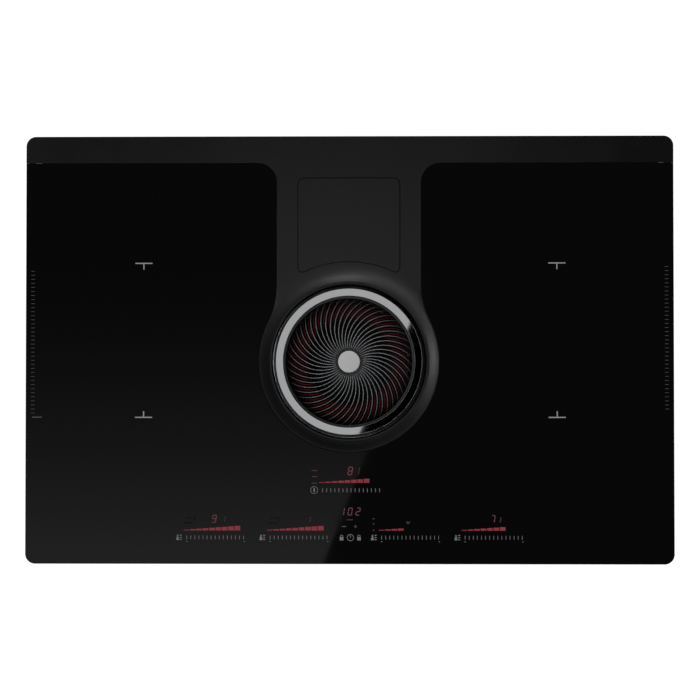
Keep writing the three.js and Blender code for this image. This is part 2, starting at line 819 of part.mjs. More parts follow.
const boardLowZ = trayInnerZ + bossHeight + seatGap;
const boardTopZ = boardLowZ + boardThickness;
for (const [side, sign] of sides) {
  const board = slab(boardWidth, boardLength, boardLowZ, boardTopZ, sign * boardX, boardY);
  piece(`inverter_board_${side}`, board, finish.greenLaminate);

  const low = boardTopZ + seatGap;
  const sinkTop = low + sinkHeight;
  const pitch = (sinkWidth - finThickness) / (finCount - 1);
  const profile = new THREE.Shape();
  profile.moveTo(-sinkWidth / 2, low);
  profile.lineTo(sinkWidth / 2, low);
  for (let i = finCount - 1; i >= 0; i -= 1) {
    const x = -sinkWidth / 2 + i * pitch;
    if (i < finCount - 1) profile.lineTo(x + finThickness, low + sinkBase);
    profile.lineTo(x + finThickness, sinkTop);
    profile.lineTo(x, sinkTop);
    if (i > 0) profile.lineTo(x, low + sinkBase);
  }
  profile.closePath();
  const fins = raised(profile, -sinkLength / 2, sinkLength / 2).rotateX(Math.PI / 2)
    .translate(sign * boardX, boardY, 0);
  piece(`heat_sink_${side}`, solidOf(fins), finish.millAluminium);

  const fan = new THREE.Group();
  fan.position.set(sign * fanX, fanY, 0);
  model.add(fan);
  const fanLow = trayInnerZ + seatGap;
  const fanTop = fanLow + fanHeight;
  let frame = roundedSlab(fanSize, fanSize, fanCorner, fanLow, fanTop)
    .subtract(rod(fanBore, fanLow - overrun, fanTop + overrun));
  for (let i = 0; i < fanStruts; i += 1) {
    const strut = block(0, fanBore + overrun, -fanStrutWidth / 2, fanStrutWidth / 2,
      fanLow, fanLow + fanStrutThickness);
    frame = frame.add(strut.rotate([0, 0, 90 + (i * 360) / fanStruts]));
  }
  frame = frame.add(rod(fanHubRadius, fanLow, fanLow + fanSeat, 0, 0, small));
  piece(`fan_frame_${side}`, frame, finish.ductPlastic, fan);

  const rotorLow = fanLow + fanSeat + seatGap;
  const rotorTop = fanTop - overrun;
  let rotor = rod(fanHubRadius, rotorLow, rotorTop, 0, 0, 2 * fanBlades);
  const bladeLength = fanBore - fanTipGap - fanHubRadius;
  for (let i = 0; i < fanBlades; i += 1) {
    const vane = new THREE.BoxGeometry(bladeLength + fanRoot, fanBladeChord, fanBladeThickness);
    vane.rotateX(fanBladePitch)
      .translate(fanHubRadius + (bladeLength - fanRoot) / 2, 0, (rotorLow + rotorTop) / 2);
    const turn = (i * 360) / fanBlades;
    rotor = rotor.add(solidOf(vane).rotate([0, 0, turn]));
  }
  piece(`fan_rotor_${side}`, rotor, finish.ductPlastic, fan);
}

// ---------------------------------------------------------------- touch board and carrier

{
  const top = sealThickness - touchDrop;
  const low = top - touchThickness;
  const tabY = touchY + (touchDepth + touchTabDepth) / 2;
  const board = slab(touchWidth, touchDepth, low, top, 0, touchY)
    .add(slab(touchTabWidth, touchTabDepth + overrun, low, top, 0, tabY - overrun / 2));
  piece('touch_board', board, finish.greenLaminate);

  const seat = low - seatGap;
  const carrierLow = seat - carrierDepth;
  const windowPitch = touchWidth / carrierWindows;
  let carrier = slab(touchWidth, touchDepth, carrierLow, seat, 0, touchY)
    .subtract(slab(touchWidth - 2 * carrierWall, touchDepth - 2 * carrierWall, carrierLow - overrun,
      seat - carrierWall, 0, touchY));
  for (let i = 0; i < carrierWindows; i += 1) {
    const x = (i - (carrierWindows - 1) / 2) * windowPitch;
    carrier = carrier.subtract(slab(windowPitch - carrierBar, touchDepth - 2 * carrierRim,
      carrierLow - overrun, seat + overrun, x, touchY));
  }
  for (const [, sign] of sides) {
    const x = (sign * (touchWidth - carrierFoot)) / 2;
    carrier = carrier.add(slab(carrierFoot, touchDepth, trayInnerZ + seatGap, seat, x, touchY));
  }
  piece('touch_carrier', carrier, finish.ductPlastic);
}

// ---------------------------------------------------------------- air box, deck, drip tray, outlet

const airDepth = airRearY - airFrontY;
const airY = (airRearY + airFrontY) / 2;
const airFloorZ = airBottomZ + airWall;
const dripZ = airFloorZ + seatGap;
const dripHalf = dripWidth / 2;
const dripFrontY = airFrontY - seatGap;
{
  const lower = airStep + airWall;
  const cut = 2 * (lower + overrun);
  const mouth = slab(dripWidth + 2 * dripClearance, cut, airFloorZ, dripZ + dripHeight + dripClearance,
    0, airFrontY);
  const outlet = slab(spigotWidth - 2 * spigotWall, cut, spigotZ - spigotHeight / 2 + spigotWall,
    spigotZ + spigotHeight / 2 - spigotWall, 0, airRearY);
  const flange = roundedSlab(airWidth + 2 * airFlange, airDepth, airCorner, airTopZ - airWall, airTopZ,
    0, airY);
  const box = roundedSlab(airWidth, airDepth, airCorner, airBottomZ, airTopZ, 0, airY)
    .add(flange)
    .subtract(slab(airWidth - 2 * airWall, airDepth - 2 * airWall, deckZ - seatGap, airTopZ + overrun,
      0, airY))
    .subtract(slab(airWidth - 2 * lower, airDepth - 2 * lower, airFloorZ, deckZ, 0, airY))
    .subtract(mouth)
    .subtract(outlet);
  piece('air_box', box, finish.ductPlastic);

  const deckInset = 2 * (airWall + seatGap);
  const deck = slab(airWidth - deckInset, airDepth - deckInset, deckZ, deckTopZ, 0, airY)
    .subtract(rod(drainRadius, deckZ - overrun, deckTopZ + overrun, 0, ventY))
    .subtract(rod(inletRadius, deckZ - overrun, deckTopZ + overrun, 0, blowerY));
  piece('air_deck', deck, finish.ductPlastic);

  const dripTop = dripZ + dripHeight;
  const dripFace = dripWall + airWall;
  const tray = block(-dripHalf, dripHalf, dripFrontY - overrun, dripFrontY + dripLength, dripZ, dripTop)
    .add(slab(dripWidth + 2 * dripLip, dripFace, airBottomZ + overrun, dripTop + dripLip,
      0, dripFrontY - dripFace / 2))
    .subtract(block(-dripHalf + dripWall, dripHalf - dripWall, dripFrontY + airWall,
      dripFrontY + dripLength - dripWall, dripZ + dripWall, dripTop + overrun));
  piece('drip_tray', tray, finish.ductPlastic);

  const flangeY = airRearY + seatGap;
  const low = spigotZ - spigotHeight / 2;
  const high = spigotZ + spigotHeight / 2;
  const half = spigotWidth / 2;
  const spigot = block(-half - spigotFlange, half + spigotFlange, flangeY, flangeY + spigotFlangeThickness,
    Math.max(low - spigotFlange, airBottomZ), high + spigotFlange)
    .add(block(-half, half, flangeY, flangeY + spigotFlangeThickness + spigotLength, low, high))
    .subtract(block(-half + spigotWall, half - spigotWall, flangeY - overrun,
      flangeY + spigotFlangeThickness + spigotLength + overrun, low + spigotWall, high - spigotWall));
  piece('outlet_spigot', spigot, finish.ductPlastic);
}

// ---------------------------------------------------------------- blower

const blower = new THREE.Group();
blower.position.set(0, blowerY, 0);
model.add(blower);
{
  const caseLow = airFloorZ + seatGap;
  const caseHigh = deckZ - 2 * seatGap - scrollWall;
  const wheelTop = caseHigh - wheelClearance;
  const wheelLow = wheelTop - wheelHeight;
  const mouthY = airRearY - airWall - airStep - seatGap - blowerY;

  // The scroll widens steadily from its tongue and ends in a straight mouth at the rear.
  const scroll = (grow, mouth) => {
    const shape = new THREE.Shape();
    for (let i = 0; i <= scrollSteps; i += 1) {
      const share = i / scrollSteps;
      const angle = Math.PI * (scrollTongue - (1 + scrollTongue) * share);
      const radius = scrollStart + (scrollEnd - scrollStart) * share + grow;
      if (i === 0) shape.moveTo(radius * Math.cos(angle), radius * Math.sin(angle));
      else shape.lineTo(radius * Math.cos(angle), radius * Math.sin(angle));
    }
    shape.lineTo(-scrollEnd - grow, mouth);
    shape.lineTo((scrollStart + grow) * Math.cos(Math.PI * scrollTongue), mouth);
    shape.closePath();
    return shape;
  };
  const shell = solidOf(raised(scroll(scrollWall, mouthY), caseLow, caseHigh))
    .subtract(solidOf(raised(scroll(0, mouthY + overrun), caseLow + scrollWall, caseHigh + overrun)));
  piece('blower_case', shell, finish.ductPlastic, blower);

  const lidLow = caseHigh + seatGap;
  const lid = solidOf(raised(scroll(scrollWall, mouthY), lidLow, lidLow + scrollWall))
    .subtract(rod(inletRadius, caseHigh, deckZ));
  piece('blower_lid', lid, finish.ductPlastic, blower);

  const motorLow = caseLow + scrollWall + seatGap;
  const motorTop = motorLow + motorHeight;
  const discLow = motorTop + wheelRise;
  const motor = turned([
    [0, motorLow],
    [motorRadius, motorLow],
    [motorRadius, motorTop - motorRound],
    [motorRadius - motorRound, motorTop],
    [shaftRadius + seatGap, motorTop],
    [shaftRadius + seatGap, motorTop - shaftSeat],
    [0, motorTop - shaftSeat],
  ]);
  piece('blower_motor', motor, finish.platedSteel, blower);

  const shaft = rod(shaftRadius, motorTop - shaftSeat + seatGap, discLow + wheelDisc + shaftEnd);
  piece('blower_shaft', shaft, finish.platedSteel, blower);

  const inner = wheelRadius - wheelBladeDepth;
  let wheel = tube(shaftRadius + seatGap, wheelRadius, discLow, discLow + wheelDisc, 0, 0, wheelBlades)
    .add(tube(inner, wheelRadius, wheelTop - wheelRing, wheelTop, 0, 0, wheelBlades))
    .add(tube(inner, wheelRadius, wheelLow, wheelLow + wheelRing, 0, 0, wheelBlades));
  for (let i = 0; i < wheelBlades; i += 1) {
    const vane = block(inner + wheelVaneInset, wheelRadius - wheelVaneInset, -wheelVane / 2, wheelVane / 2,
      wheelLow + wheelRing / 2, wheelTop - wheelRing / 2);
    wheel = wheel.add(vane.rotate([0, 0, (i * 360) / wheelBlades]));
  }
  piece('blower_wheel', wheel, finish.ductPlastic, blower);
}

// ---------------------------------------------------------------- worktop clamps

for (const [side, sign] of sides) {
  for (const [end, along] of ends) {
    const clamp = new THREE.Group();
    clamp.position.set(sign * clampX, along * clampY, 0);
    model.add(clamp);
    const top = trayFloorZ - seatGap;
    const low = top - clampThickness;
    const shape = new THREE.Shape();
    shape.absarc(0, 0, clampWidth / 2, 0, Math.PI);
    shape.lineTo(-clampWidth / 2, -clampLength);
    shape.lineTo(clampWidth / 2, -clampLength);
    shape.closePath();
    const arm = raised(shape, low, top);
    if (along < 0) arm.rotateZ(Math.PI);
    const claw = solidOf(arm).subtract(rod(clampBore, low - overrun, top + overrun, 0, 0, small));
    piece(`clamp_${side}_${end}`, claw, finish.zincSheet, clamp);

    const headTop = low - seatGap;
    const headLow = headTop - screwHeadHeight;
    const screw = rod(screwRadius, headTop - overrun, top, 0, 0, small)
      .add(rod(screwHeadRadius, headLow, headTop, 0, 0, screwFlats));
    piece(`clamp_screw_${side}_${end}`, screw, finish.platedSteel, clamp);
  }
}

// ---------------------------------------------------------------- mains connection

{
  const top = trayFloorZ - seatGap;
  const low = top - coverHeight;
  const centreY = coverRearY - coverDepth / 2;
  const glandZ = (top + low) / 2;
  const bore = new THREE.CylinderGeometry(glandBore + overrun, glandBore + overrun, 3 * coverWall, coarse)
    .translate(coverX, coverRearY - coverWall / 2, glandZ);
  const cover = slab(coverWidth, coverDepth, low, top, coverX, centreY)
    .subtract(slab(coverWidth - 2 * coverWall, coverDepth - 2 * coverWall, low + coverWall,
      top + overrun, coverX, centreY))
    .subtract(solidOf(bore));
  piece('terminal_cover', cover, finish.ductPlastic);

  const blockLow = low + coverWall + seatGap;
  const blockTop = blockLow + blockHeight;
  const profile = new THREE.Shape();
  profile.moveTo(-blockWidth / 2, blockLow);
  profile.lineTo(blockWidth / 2, blockLow);
  const way = blockWidth / blockWays;
  for (let i = blockWays; i > 0; i -= 1) {
    const x = -blockWidth / 2 + i * way;
    profile.lineTo(x, blockTop);
    if (i > 1) {
      profile.lineTo(x - way + blockGroove, blockTop);
      profile.lineTo(x - way + blockGroove, blockTop - blockGrooveDepth);
      profile.lineTo(x - way, blockTop - blockGrooveDepth);
    } else {
      profile.lineTo(x - way, blockTop);
    }
  }
  profile.closePath();
  const ways = raised(profile, -blockDepth / 2, blockDepth / 2).rotateX(Math.PI / 2)
    .translate(coverX, centreY - blockSetback, 0);
  piece('terminal_block', solidOf(ways), finish.paleMoulding);

  const faceY = coverRearY + seatGap;
  const outline = [
    [glandBore, 0],
    [glandRadius, 0],
    [glandRadius, glandCollar],
    [glandRadius - glandStep, glandCollar],
    [glandRadius - glandStep, glandLength - glandStep],
    [glandRadius - 2 * glandStep, glandLength],
    [glandBore, glandLength],
  ].map(([radius, z]) => new THREE.Vector2(radius, z));
  outline.push(outline[0].clone());
  const gland = new THREE.LatheGeometry(outline, coarse).translate(coverX, faceY, glandZ);
  piece('cable_gland', solidOf(gland), finish.ductPlastic);
}

export default model;
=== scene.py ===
from math import asin, atan, atan2, ceil, cos, degrees, hypot, inf, pi, radians, sin, sqrt, tan

import bmesh
import bpy
from mathutils import Matrix, Vector
from mathutils.geometry import delaunay_2d_cdt


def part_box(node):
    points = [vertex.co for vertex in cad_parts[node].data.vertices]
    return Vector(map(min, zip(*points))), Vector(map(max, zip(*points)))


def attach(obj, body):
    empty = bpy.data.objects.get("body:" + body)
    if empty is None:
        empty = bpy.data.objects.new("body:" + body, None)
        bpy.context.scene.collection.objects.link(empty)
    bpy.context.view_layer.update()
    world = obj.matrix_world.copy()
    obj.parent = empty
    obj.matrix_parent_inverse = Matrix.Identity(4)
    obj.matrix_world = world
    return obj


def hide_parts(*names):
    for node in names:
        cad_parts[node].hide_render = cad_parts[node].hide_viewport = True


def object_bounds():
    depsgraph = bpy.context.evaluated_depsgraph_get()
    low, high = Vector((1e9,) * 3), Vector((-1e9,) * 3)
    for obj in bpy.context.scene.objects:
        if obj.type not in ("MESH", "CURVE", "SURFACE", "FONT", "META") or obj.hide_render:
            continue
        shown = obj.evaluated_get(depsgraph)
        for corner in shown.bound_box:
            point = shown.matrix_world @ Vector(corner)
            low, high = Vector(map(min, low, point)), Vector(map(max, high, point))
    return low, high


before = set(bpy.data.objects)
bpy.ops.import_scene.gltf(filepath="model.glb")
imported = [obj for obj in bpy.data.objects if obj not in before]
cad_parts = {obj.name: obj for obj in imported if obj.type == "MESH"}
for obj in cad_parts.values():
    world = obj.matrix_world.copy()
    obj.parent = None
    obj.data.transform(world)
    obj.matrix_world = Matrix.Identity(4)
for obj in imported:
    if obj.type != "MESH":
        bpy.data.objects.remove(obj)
packed_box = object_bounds()

# The base tray hangs in the worktop's cut-out and carries everything under the glass.
# It is zinc-coated steel sheet, cut and folded, so its edges keep the small radius of the fold.

MM = 0.001
SIDES = ("left", "right")
ENDS = ("front", "rear")
NOISE_LOW, NOISE_HIGH = 0.3, 0.7     # most of a noise texture's values lie between these


def linear(code):
    """An sRGB colour such as "3a3c3e" as the linear RGBA that a shader socket takes."""
    parts = [int(code[i:i + 2], 16) / 255 for i in (0, 2, 4)]
    return tuple(p / 12.92 if p <= 0.04045 else ((p + 0.055) / 1.055) ** 2.4 for p in parts) + (1,)


def add(tree, kind, sockets=None, **settings):
    """Adds a shader node: settings go on the node, sockets take a value or another node's output."""
    made = tree.nodes.new("ShaderNode" + kind)
    for name, value in settings.items():
        setattr(made, name, value)
    for name, value in (sockets or {}).items():
        if isinstance(value, bpy.types.NodeSocket):
            tree.links.new(value, made.inputs[name])
        else:
            made.inputs[name].default_value = value
    return made


def bare_material(name):
    """A new material and its empty node tree."""
    material = bpy.data.materials.new(name)
    material.use_nodes = True
    material.node_tree.nodes.clear()
    return material, material.node_tree


def finish(name, dark, light, rough, metal=0.0, grain=0.5, depth=0.01, stretch=(1, 1, 1), blotch=25,
           pattern="TexNoise"):
    """A surface whose colour wanders between two tones, with a fine grain and broad blotches.

    grain and blotch are their widths and depth is the grain's depth, all in mm.
    A stretch below 1 draws the grain out into lines along that axis.
    """
    material, tree = bare_material(name)
    where = add(tree, "TexCoord").outputs["Object"]
    drawn_out = add(tree, "Mapping", {"Vector": where, "Scale": stretch}).outputs[0]
    texture = add(tree, pattern, {"Vector": drawn_out, "Scale": 1 / (grain * MM)})
    fine = texture.outputs["Color" if pattern == "TexVoronoi" else "Fac"]
    broad = add(tree, "TexNoise", {"Vector": where, "Scale": 1 / (blotch * MM), "Detail": 3}).outputs["Fac"]
    both = add(tree, "Math", {0: fine, 1: broad}, operation="MULTIPLY").outputs[0]
    all_dark, all_light = 0.1, 0.5
    share = add(tree, "MapRange", {"Value": both, "From Min": all_dark, "From Max": all_light}).outputs[0]
    colour = add(tree, "Mix", {0: share, 6: linear(dark), 7: linear(light)}, data_type="RGBA").outputs[2]
    unevenness = 0.15
    dull = add(tree, "MapRange", {"Value": broad, "From Min": NOISE_LOW, "From Max": NOISE_HIGH,
                                  "To Min": rough * (1 - unevenness),
                                  "To Max": min(rough * (1 + unevenness), 1)}).outputs[0]
    bump = add(tree, "Bump", {"Height": fine, "Distance": depth * MM}).outputs[0]
    shader = add(tree, "BsdfPrincipled", {"Base Color": colour, "Metallic": metal, "Roughness": dull,
                                          "Normal": bump})
    add(tree, "OutputMaterial", {"Surface": shader.outputs[0]})
    return material


def new_object(name, data):
    """A new object in the scene."""
    made = bpy.data.objects.new(name, data)
    bpy.context.scene.collection.objects.link(made)
    return made


def place(name, bm, material, body="root", slot=None, stands_for=(), edge=0.0):
    """Makes the finished object from a bmesh: edges rounded by so many mm, riding on its CAD body."""
    sharp = radians(30)
    level = 0.99999
    bmesh.ops.recalc_face_normals(bm, faces=bm.faces)
    mesh = bpy.data.meshes.new(name)
    bm.to_mesh(mesh)
    bm.free()
    mesh.materials.append(material)
    mesh.set_sharp_from_angle(angle=sharp)
    mesh.polygons.foreach_set("use_smooth", [abs(p.normal.z) < level for p in mesh.polygons])
    made = new_object(name, mesh)
    if edge:
        bevel = made.modifiers.new("edge", "BEVEL")
        bevel.width = edge * MM
        bevel.segments = 2
        bevel.limit_method = "ANGLE"
        bevel.angle_limit = sharp
        bevel.harden_normals = True
    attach(made, body)
    if stands_for:
        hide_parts(*stands_for)
    return made


def softened(node, material, slot, edge, body="root"):
    """A copy of a CAD node, its edges rounded by so many mm as on the real piece."""
    same_point = 0.001 * MM
    same_face = radians(1)
    bm = bmesh.new()
    bm.from_mesh(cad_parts[node].data)
    bmesh.ops.remove_doubles(bm, verts=bm.verts, dist=same_point)
    bmesh.ops.dissolve_limit(bm, angle_limit=same_face, verts=bm.verts, edges=bm.edges, delimit={"NORMAL"})
    return place(node + "_soft", bm, material, body, slot, [node], edge)


# Zinc sets in crystals 7 mm across: patches of two close greys with a dull shine.
zinc = finish("zinc-coated steel sheet", "858a8d", "9ea2a5", 0.42, 0.9, grain=7, depth=0.01,
              pattern="TexVoronoi", blotch=60)
softened("base_tray", zinc, "zinc_steel", edge=0.5)

# Power boards with their heat sinks and cooling fans stand on the tray's floor, one set a side.
# The boards are glass fibre laminate, the sinks extruded aluminium, the fans moulded.

# Half-gloss green lacquer, lighter in patches of 3 mm over the copper under it.
laminate = finish("green circuit laminate", "203f2a", "2a5236", 0.5, grain=3, depth=0.02,
                  pattern="TexVoronoi", blotch=12)
# The die leaves lines along the fins, drawn 0.4 mm wide, coarser than real, to show.
extruded = finish("extruded aluminium", "9a9da0", "c2c5c8", 0.38, 0.95, grain=0.4, depth=0.01,
                  stretch=(1, 0.05, 1))
# Glass fibres leave a dull, mottled black; their specks are drawn 0.35 mm wide to show.
fan_plastic = finish("black glass-filled moulding", "1b1c1d", "2b2d2f", 0.55, grain=0.35, depth=0.01)
for side in SIDES:
    softened("inverter_board_" + side, laminate, "circuit_board", edge=0.15)
    softened("heat_sink_" + side, extruded, "coil_aluminium", edge=0.2)
    softened("fan_frame_" + side, fan_plastic, "duct_plastic", edge=0.4)
    softened("fan_rotor_" + side, fan_plastic, "duct_plastic", edge=0.3, body="fan_" + side)

# Coil carriers, formers, windings and pan sensors lie under the glass, two cooking zones a side.
# A sheet aluminium plate carries moulded formers, which are wound with litz wire.

# Rolling leaves soft lines along the sheet, drawn 0.5 mm wide, coarser than real, to show.
mill = finish("mill finish aluminium sheet", "a3a6a9", "bfc2c5", 0.36, 0.95, grain=0.5, depth=0.006,
              stretch=(0.04, 1, 1))
# Mineral-filled plastic: a chalky cream with little gloss.
pale = finish("heat-resistant pale moulding", "cfcabb", "e3dfd3", 0.62, grain=0.6, depth=0.01)
# Bundles of copper strands, 2.2 mm thick, glint in dark and light brown under clear lacquer.
litz = finish("lacquered litz wire", "7c3d1c", "b9683a", 0.4, 0.7, grain=2.2, depth=0.25, blotch=40)
for side in SIDES:
    softened("coil_plate_" + side, mill, "coil_aluminium", edge=0.2)
    for row in ENDS:
        softened(f"coil_former_{side}_{row}", pale, "coil_former", edge=0.4)
        softened(f"coil_winding_{side}_{row}", litz, "coil_copper", edge=1.2)
        softened(f"pan_sensor_{side}_{row}", pale, "coil_former", edge=0.3)

# The touch board and its carrier sit close under the glass, behind the displays.
# The board is laminate, clipped on a moulding that stands on the tray's floor.

# Moulded in an eroded tool: an even black with a fine grain, drawn 0.4 mm wide to show.
duct_plastic = finish("black injection moulding", "161718", "232527", 0.5, grain=0.4, depth=0.012)
softened("touch_board", laminate, "circuit_board", edge=0.15)
softened("touch_carrier", duct_plastic, "duct_plastic", edge=0.3)

# The air's way: box, deck, throat, cassette well, and the outlet that the flat duct slides over.
# All are black injection mouldings, screwed to each other and on under the tray.

for node in ("air_box", "air_deck", "outlet_spigot", "suction_throat", "cassette_well"):
    softened(node, duct_plastic, "duct_plastic", edge=0.5)

# The blower stands on the air box's floor: a scroll case with its lid, a motor and a wheel.
# Case and wheel are mouldings; the wheel is pressed on the motor's plated steel shaft.

# Bright zinc plating: light grey with small cloudy patches and a clear shine.
plated = finish("zinc-plated steel", "8e9194", "b4b7ba", 0.34, 0.95, grain=0.6, depth=0.008)
for node in ("blower_case", "blower_lid"):
    softened(node, duct_plastic, "duct_plastic", edge=0.4)
softened("blower_motor", plated, "motor_steel", edge=0.4)
softened("blower_wheel", fan_plastic, "duct_plastic", edge=0.2, body="blower_rotor")
softened("blower_shaft", plated, "motor_steel", edge=0.2, body="blower_rotor")

# The drip tray catches what falls through the vent and pulls out to the front.
# It is a black moulding, and its lip covers the slot in the air box.

softened("drip_tray", duct_plastic, "duct_plastic", edge=0.6, body="drip_drawer")

# Worktop clamps: claws that turn out under the worktop, each on its own screw.
# The claws are pressed from zinc-coated sheet, rounded where the tool bent them.

for side in SIDES:
    for end in ENDS:
        softened(f"clamp_{side}_{end}", zinc, "zinc_steel", edge=0.4, body=f"claw_{side}_{end}")
        softened(f"clamp_screw_{side}_{end}", plated, "motor_steel", edge=0.3)

# Mains connection: a moulded cover under the tray with the terminal block inside it.
# The lead comes in through a moulded gland, screwed into the cover's wall.

softened("terminal_cover", duct_plastic, "duct_plastic", edge=0.5)
softened("terminal_block", pale, "terminal_plastic", edge=0.2)
softened("cable_gland", fan_plastic, "duct_plastic", edge=0.3)

# The rim seal keeps spills out of the cut-out: a strip between the plate's edge and the worktop.
# It is closed-cell foam, cut from sheet and stuck under the plate.

# Dead black, and its cut cells show as pits of 0.8 mm.
foam = finish("closed-cell foam", "141414", "202020", 0.92, grain=0.8, depth=0.08)
softened("rim_seal", foam, "seal_rubber", edge=0.2)

# The glass plate is one piece of black glass ceramic, cut to a U round the insert.
# Its edge is ground round, and it lies on the rim seal by its own weight.

TURN = 2 * pi
QUARTER = pi / 2
(_, front_edge, glass_low), (half_width, _, plate_top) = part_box("glass_panel")
rear_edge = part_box("centre_insert")[1].y
corner_radius = 12 * MM
ground_edge = 0.5 * MM
vent = Vector((0, -14.4 * MM, 0))
collar_radius = 108.6 * MM
band_front = rear_edge - 32 * MM
insert_joint = 0.4 * MM


def arc(centre, radius, start, end, steps=0):
    """Points on an arc from one angle to another, 2.5 degrees apart unless the steps are given."""
    steps = steps or max(3, ceil(abs(end - start) / radians(2.5)))
    turns = [start + (end - start) * i / steps for i in range(steps + 1)]
    return [Vector((centre[0] + radius * cos(t), centre[1] + radius * sin(t))) for t in turns]


def plate_corner(side, y, start):
    """A quarter circle at one of the plate's corners; side is its sign in x."""
    return arc((side * (half_width - corner_radius), y), corner_radius, start, start + QUARTER)


def insert_front(grow):
    """The insert's edge against the glass, from left to right round the column and the collar."""
    column = 86.8 * MM + grow
    corner = 24 * MM - grow
    blend = 96 * MM - grow
    collar = collar_radius + grow
    front = band_front - grow
    blend_x = column + blend
    blend_y = vent.y + sqrt((collar + blend) ** 2 - blend_x ** 2)
    meet = atan2(blend_y - vent.y, blend_x)
    return [
        Vector((-half_width, front)),
        *arc((-column - corner, front - corner), corner, QUARTER, 0),
        *arc((-blend_x, blend_y), blend, 0, -meet),
        *arc(vent, collar, pi - meet, TURN + meet),
        *arc((blend_x, blend_y), blend, pi + meet, pi),
        *arc((column + corner, front - corner), corner, pi, QUARTER),
        Vector((half_width, front)),
    ]


def without_doubles(points):
    """The closed outline without points that repeat the one before."""
    same_point = 0.01 * MM
    return [p for i, p in enumerate(points) if (p - points[i - 1]).length > same_point]


def inset(points, amount):
    """The closed outline moved inwards by an amount, its corners mitred."""
    area = sum(a.cross(b) for a, b in zip(points, points[1:] + points[:1]))
    inward = amount if area > 0 else -amount
    moved = []
    for i, point in enumerate(points):
        before = (point - points[i - 1]).normalized()
        after = (points[(i + 1) % len(points)] - point).normalized()
        normal = Vector((-before.y - after.y, before.x + after.x))
        moved.append(point + normal * (2 * inward / normal.length_squared))
    return moved


def ring(bm, points, level):
    """A closed row of vertices along an outline; level is a height or gives one for a point."""
    return [bm.verts.new((p[0], p[1], level(p) if callable(level) else level)) for p in points]


def wall(bm, lower, upper):
    """Faces between two rings with the same number of points."""
    for i in range(len(lower)):
        bm.faces.new((lower[i - 1], lower[i], upper[i], upper[i - 1]))


def walls(bm, first, rows):
    """Walls from one ring through rows of (outline, level); returns the last ring."""
    for points, level in rows:
        following = ring(bm, points, level)
        wall(bm, first, following)
        first = following
    return first


def crossings(point, row):
    """How many edges of a ring lie to the right of a point."""
    count = 0
    for i, v in enumerate(row):
        a, b = v.co, row[i - 1].co
        if (a.y > point.y) != (b.y > point.y):
            count += point.x < a.x + (point.y - a.y) * (b.x - a.x) / (b.y - a.y)
    return count


def cap(bm, rings, extra=()):
    """Fills the flat region between rings, with extra vertices inside it."""
    known = [v for row in rings for v in row]
    edges = []
    for row in rings:
        start = len(edges)
        edges += [(start + i, start + (i + 1) % len(row)) for i in range(len(row))]
    known += extra
    inside_only, same_point = 1, 0.0001 * MM
    faces, origin = delaunay_2d_cdt([v.co.xy for v in known], edges, [], inside_only, same_point)[2:4]
    for face in faces:
        corners = [known[origin[i][0]] for i in face]
        middle = sum((v.co for v in corners), Vector()) / 3
        if sum(crossings(middle, row) for row in rings) % 2:
            bm.faces.new(corners)


def plate(name, outline, low, high, radius, material, **where):
    """A flat piece whose upper edge is rounded over in three steps."""
    bm = bmesh.new()
    points = without_doubles(outline)
    lowest = ring(bm, points, low)
    turns = [QUARTER * i / 3 for i in range(4)]
    highest = walls(bm, lowest, [(inset(points, radius * (1 - cos(t))), high - radius * (1 - sin(t)))
                                 for t in turns])
    cap(bm, [highest])
    cap(bm, [lowest])
    return place(name, bm, material, **where)


def black_glass():
    """Polished glass ceramic: a clear mirror over an almost black body.

    Wiping leaves a film in broad clouds that blurs the mirror a little. The body has faint specks, drawn
    0.8 mm wide, as the real crystals are too fine to show.
    """
    film_width, speck_width, film_depth = 60 * MM, 0.8 * MM, 0.01 * MM
    film_low, film_high = 0.35, 0.7
    clearest, dullest = 0.02, 0.05
    material, tree = bare_material("polished black glass ceramic")
    where = add(tree, "TexCoord").outputs["Object"]
    film = add(tree, "TexNoise", {"Vector": where, "Scale": 1 / film_width, "Detail": 5}).outputs["Fac"]
    specks = add(tree, "TexNoise", {"Vector": where, "Scale": 1 / speck_width}).outputs["Fac"]
    dull = add(tree, "MapRange", {"Value": film, "From Min": film_low, "From Max": film_high,
                                  "To Min": clearest, "To Max": dullest}).outputs[0]
    colour = add(tree, "Mix", {0: specks, 6: linear("101011"), 7: linear("131314")},
                 data_type="RGBA").outputs[2]
    ripple = add(tree, "Bump", {"Height": film, "Distance": film_depth}).outputs[0]
    shader = add(tree, "BsdfPrincipled", {"Base Color": colour, "Roughness": dull, "IOR": 1.5,
                                          "Normal": ripple})
    add(tree, "OutputMaterial", {"Surface": shader.outputs[0]})
    return material


glass_outline = [
    *reversed(insert_front(insert_joint)),
    *plate_corner(-1, front_edge + corner_radius, pi),
    *plate_corner(1, front_edge + corner_radius, 3 * QUARTER),
]
glass_plate = plate("glass_plate", glass_outline, glass_low, plate_top, ground_edge, black_glass(),
                    slot="glass_ceramic", stands_for=["glass_panel"])

# Zone marks and side scales on the glass show where the pans stand.
# They are printed and fired on as enamel. All numbers of the prints and displays are in mm.

print_level = plate_top + 0.02 * MM
print_height = 0.03 * MM


def bar(bm, x0, x1, y0, y1, lean=0.0):
    """A printed rectangle; lean shifts its upper end to the right."""
    corners = [(x0, y0), (x1, y0), (x1 + lean, y1), (x0 + lean, y1)]
    points = [Vector(c) * MM for c in corners]
    low = ring(bm, points, print_level)
    high = ring(bm, points, print_level + print_height)
    wall(bm, low, high)
    bm.faces.new(low)
    bm.faces.new(high)


def dash(bm, x, y, width, height):
    """A printed rectangle about its middle."""
    bar(bm, x - width / 2, x + width / 2, y - height / 2, y + height / 2)


# Fired enamel is matte and even. Its grain is drawn 0.3 mm wide, coarser than the powder.
white_enamel = finish("fired pale enamel", "b8babc", "d6d8da", 0.5, grain=0.3, depth=0.004)
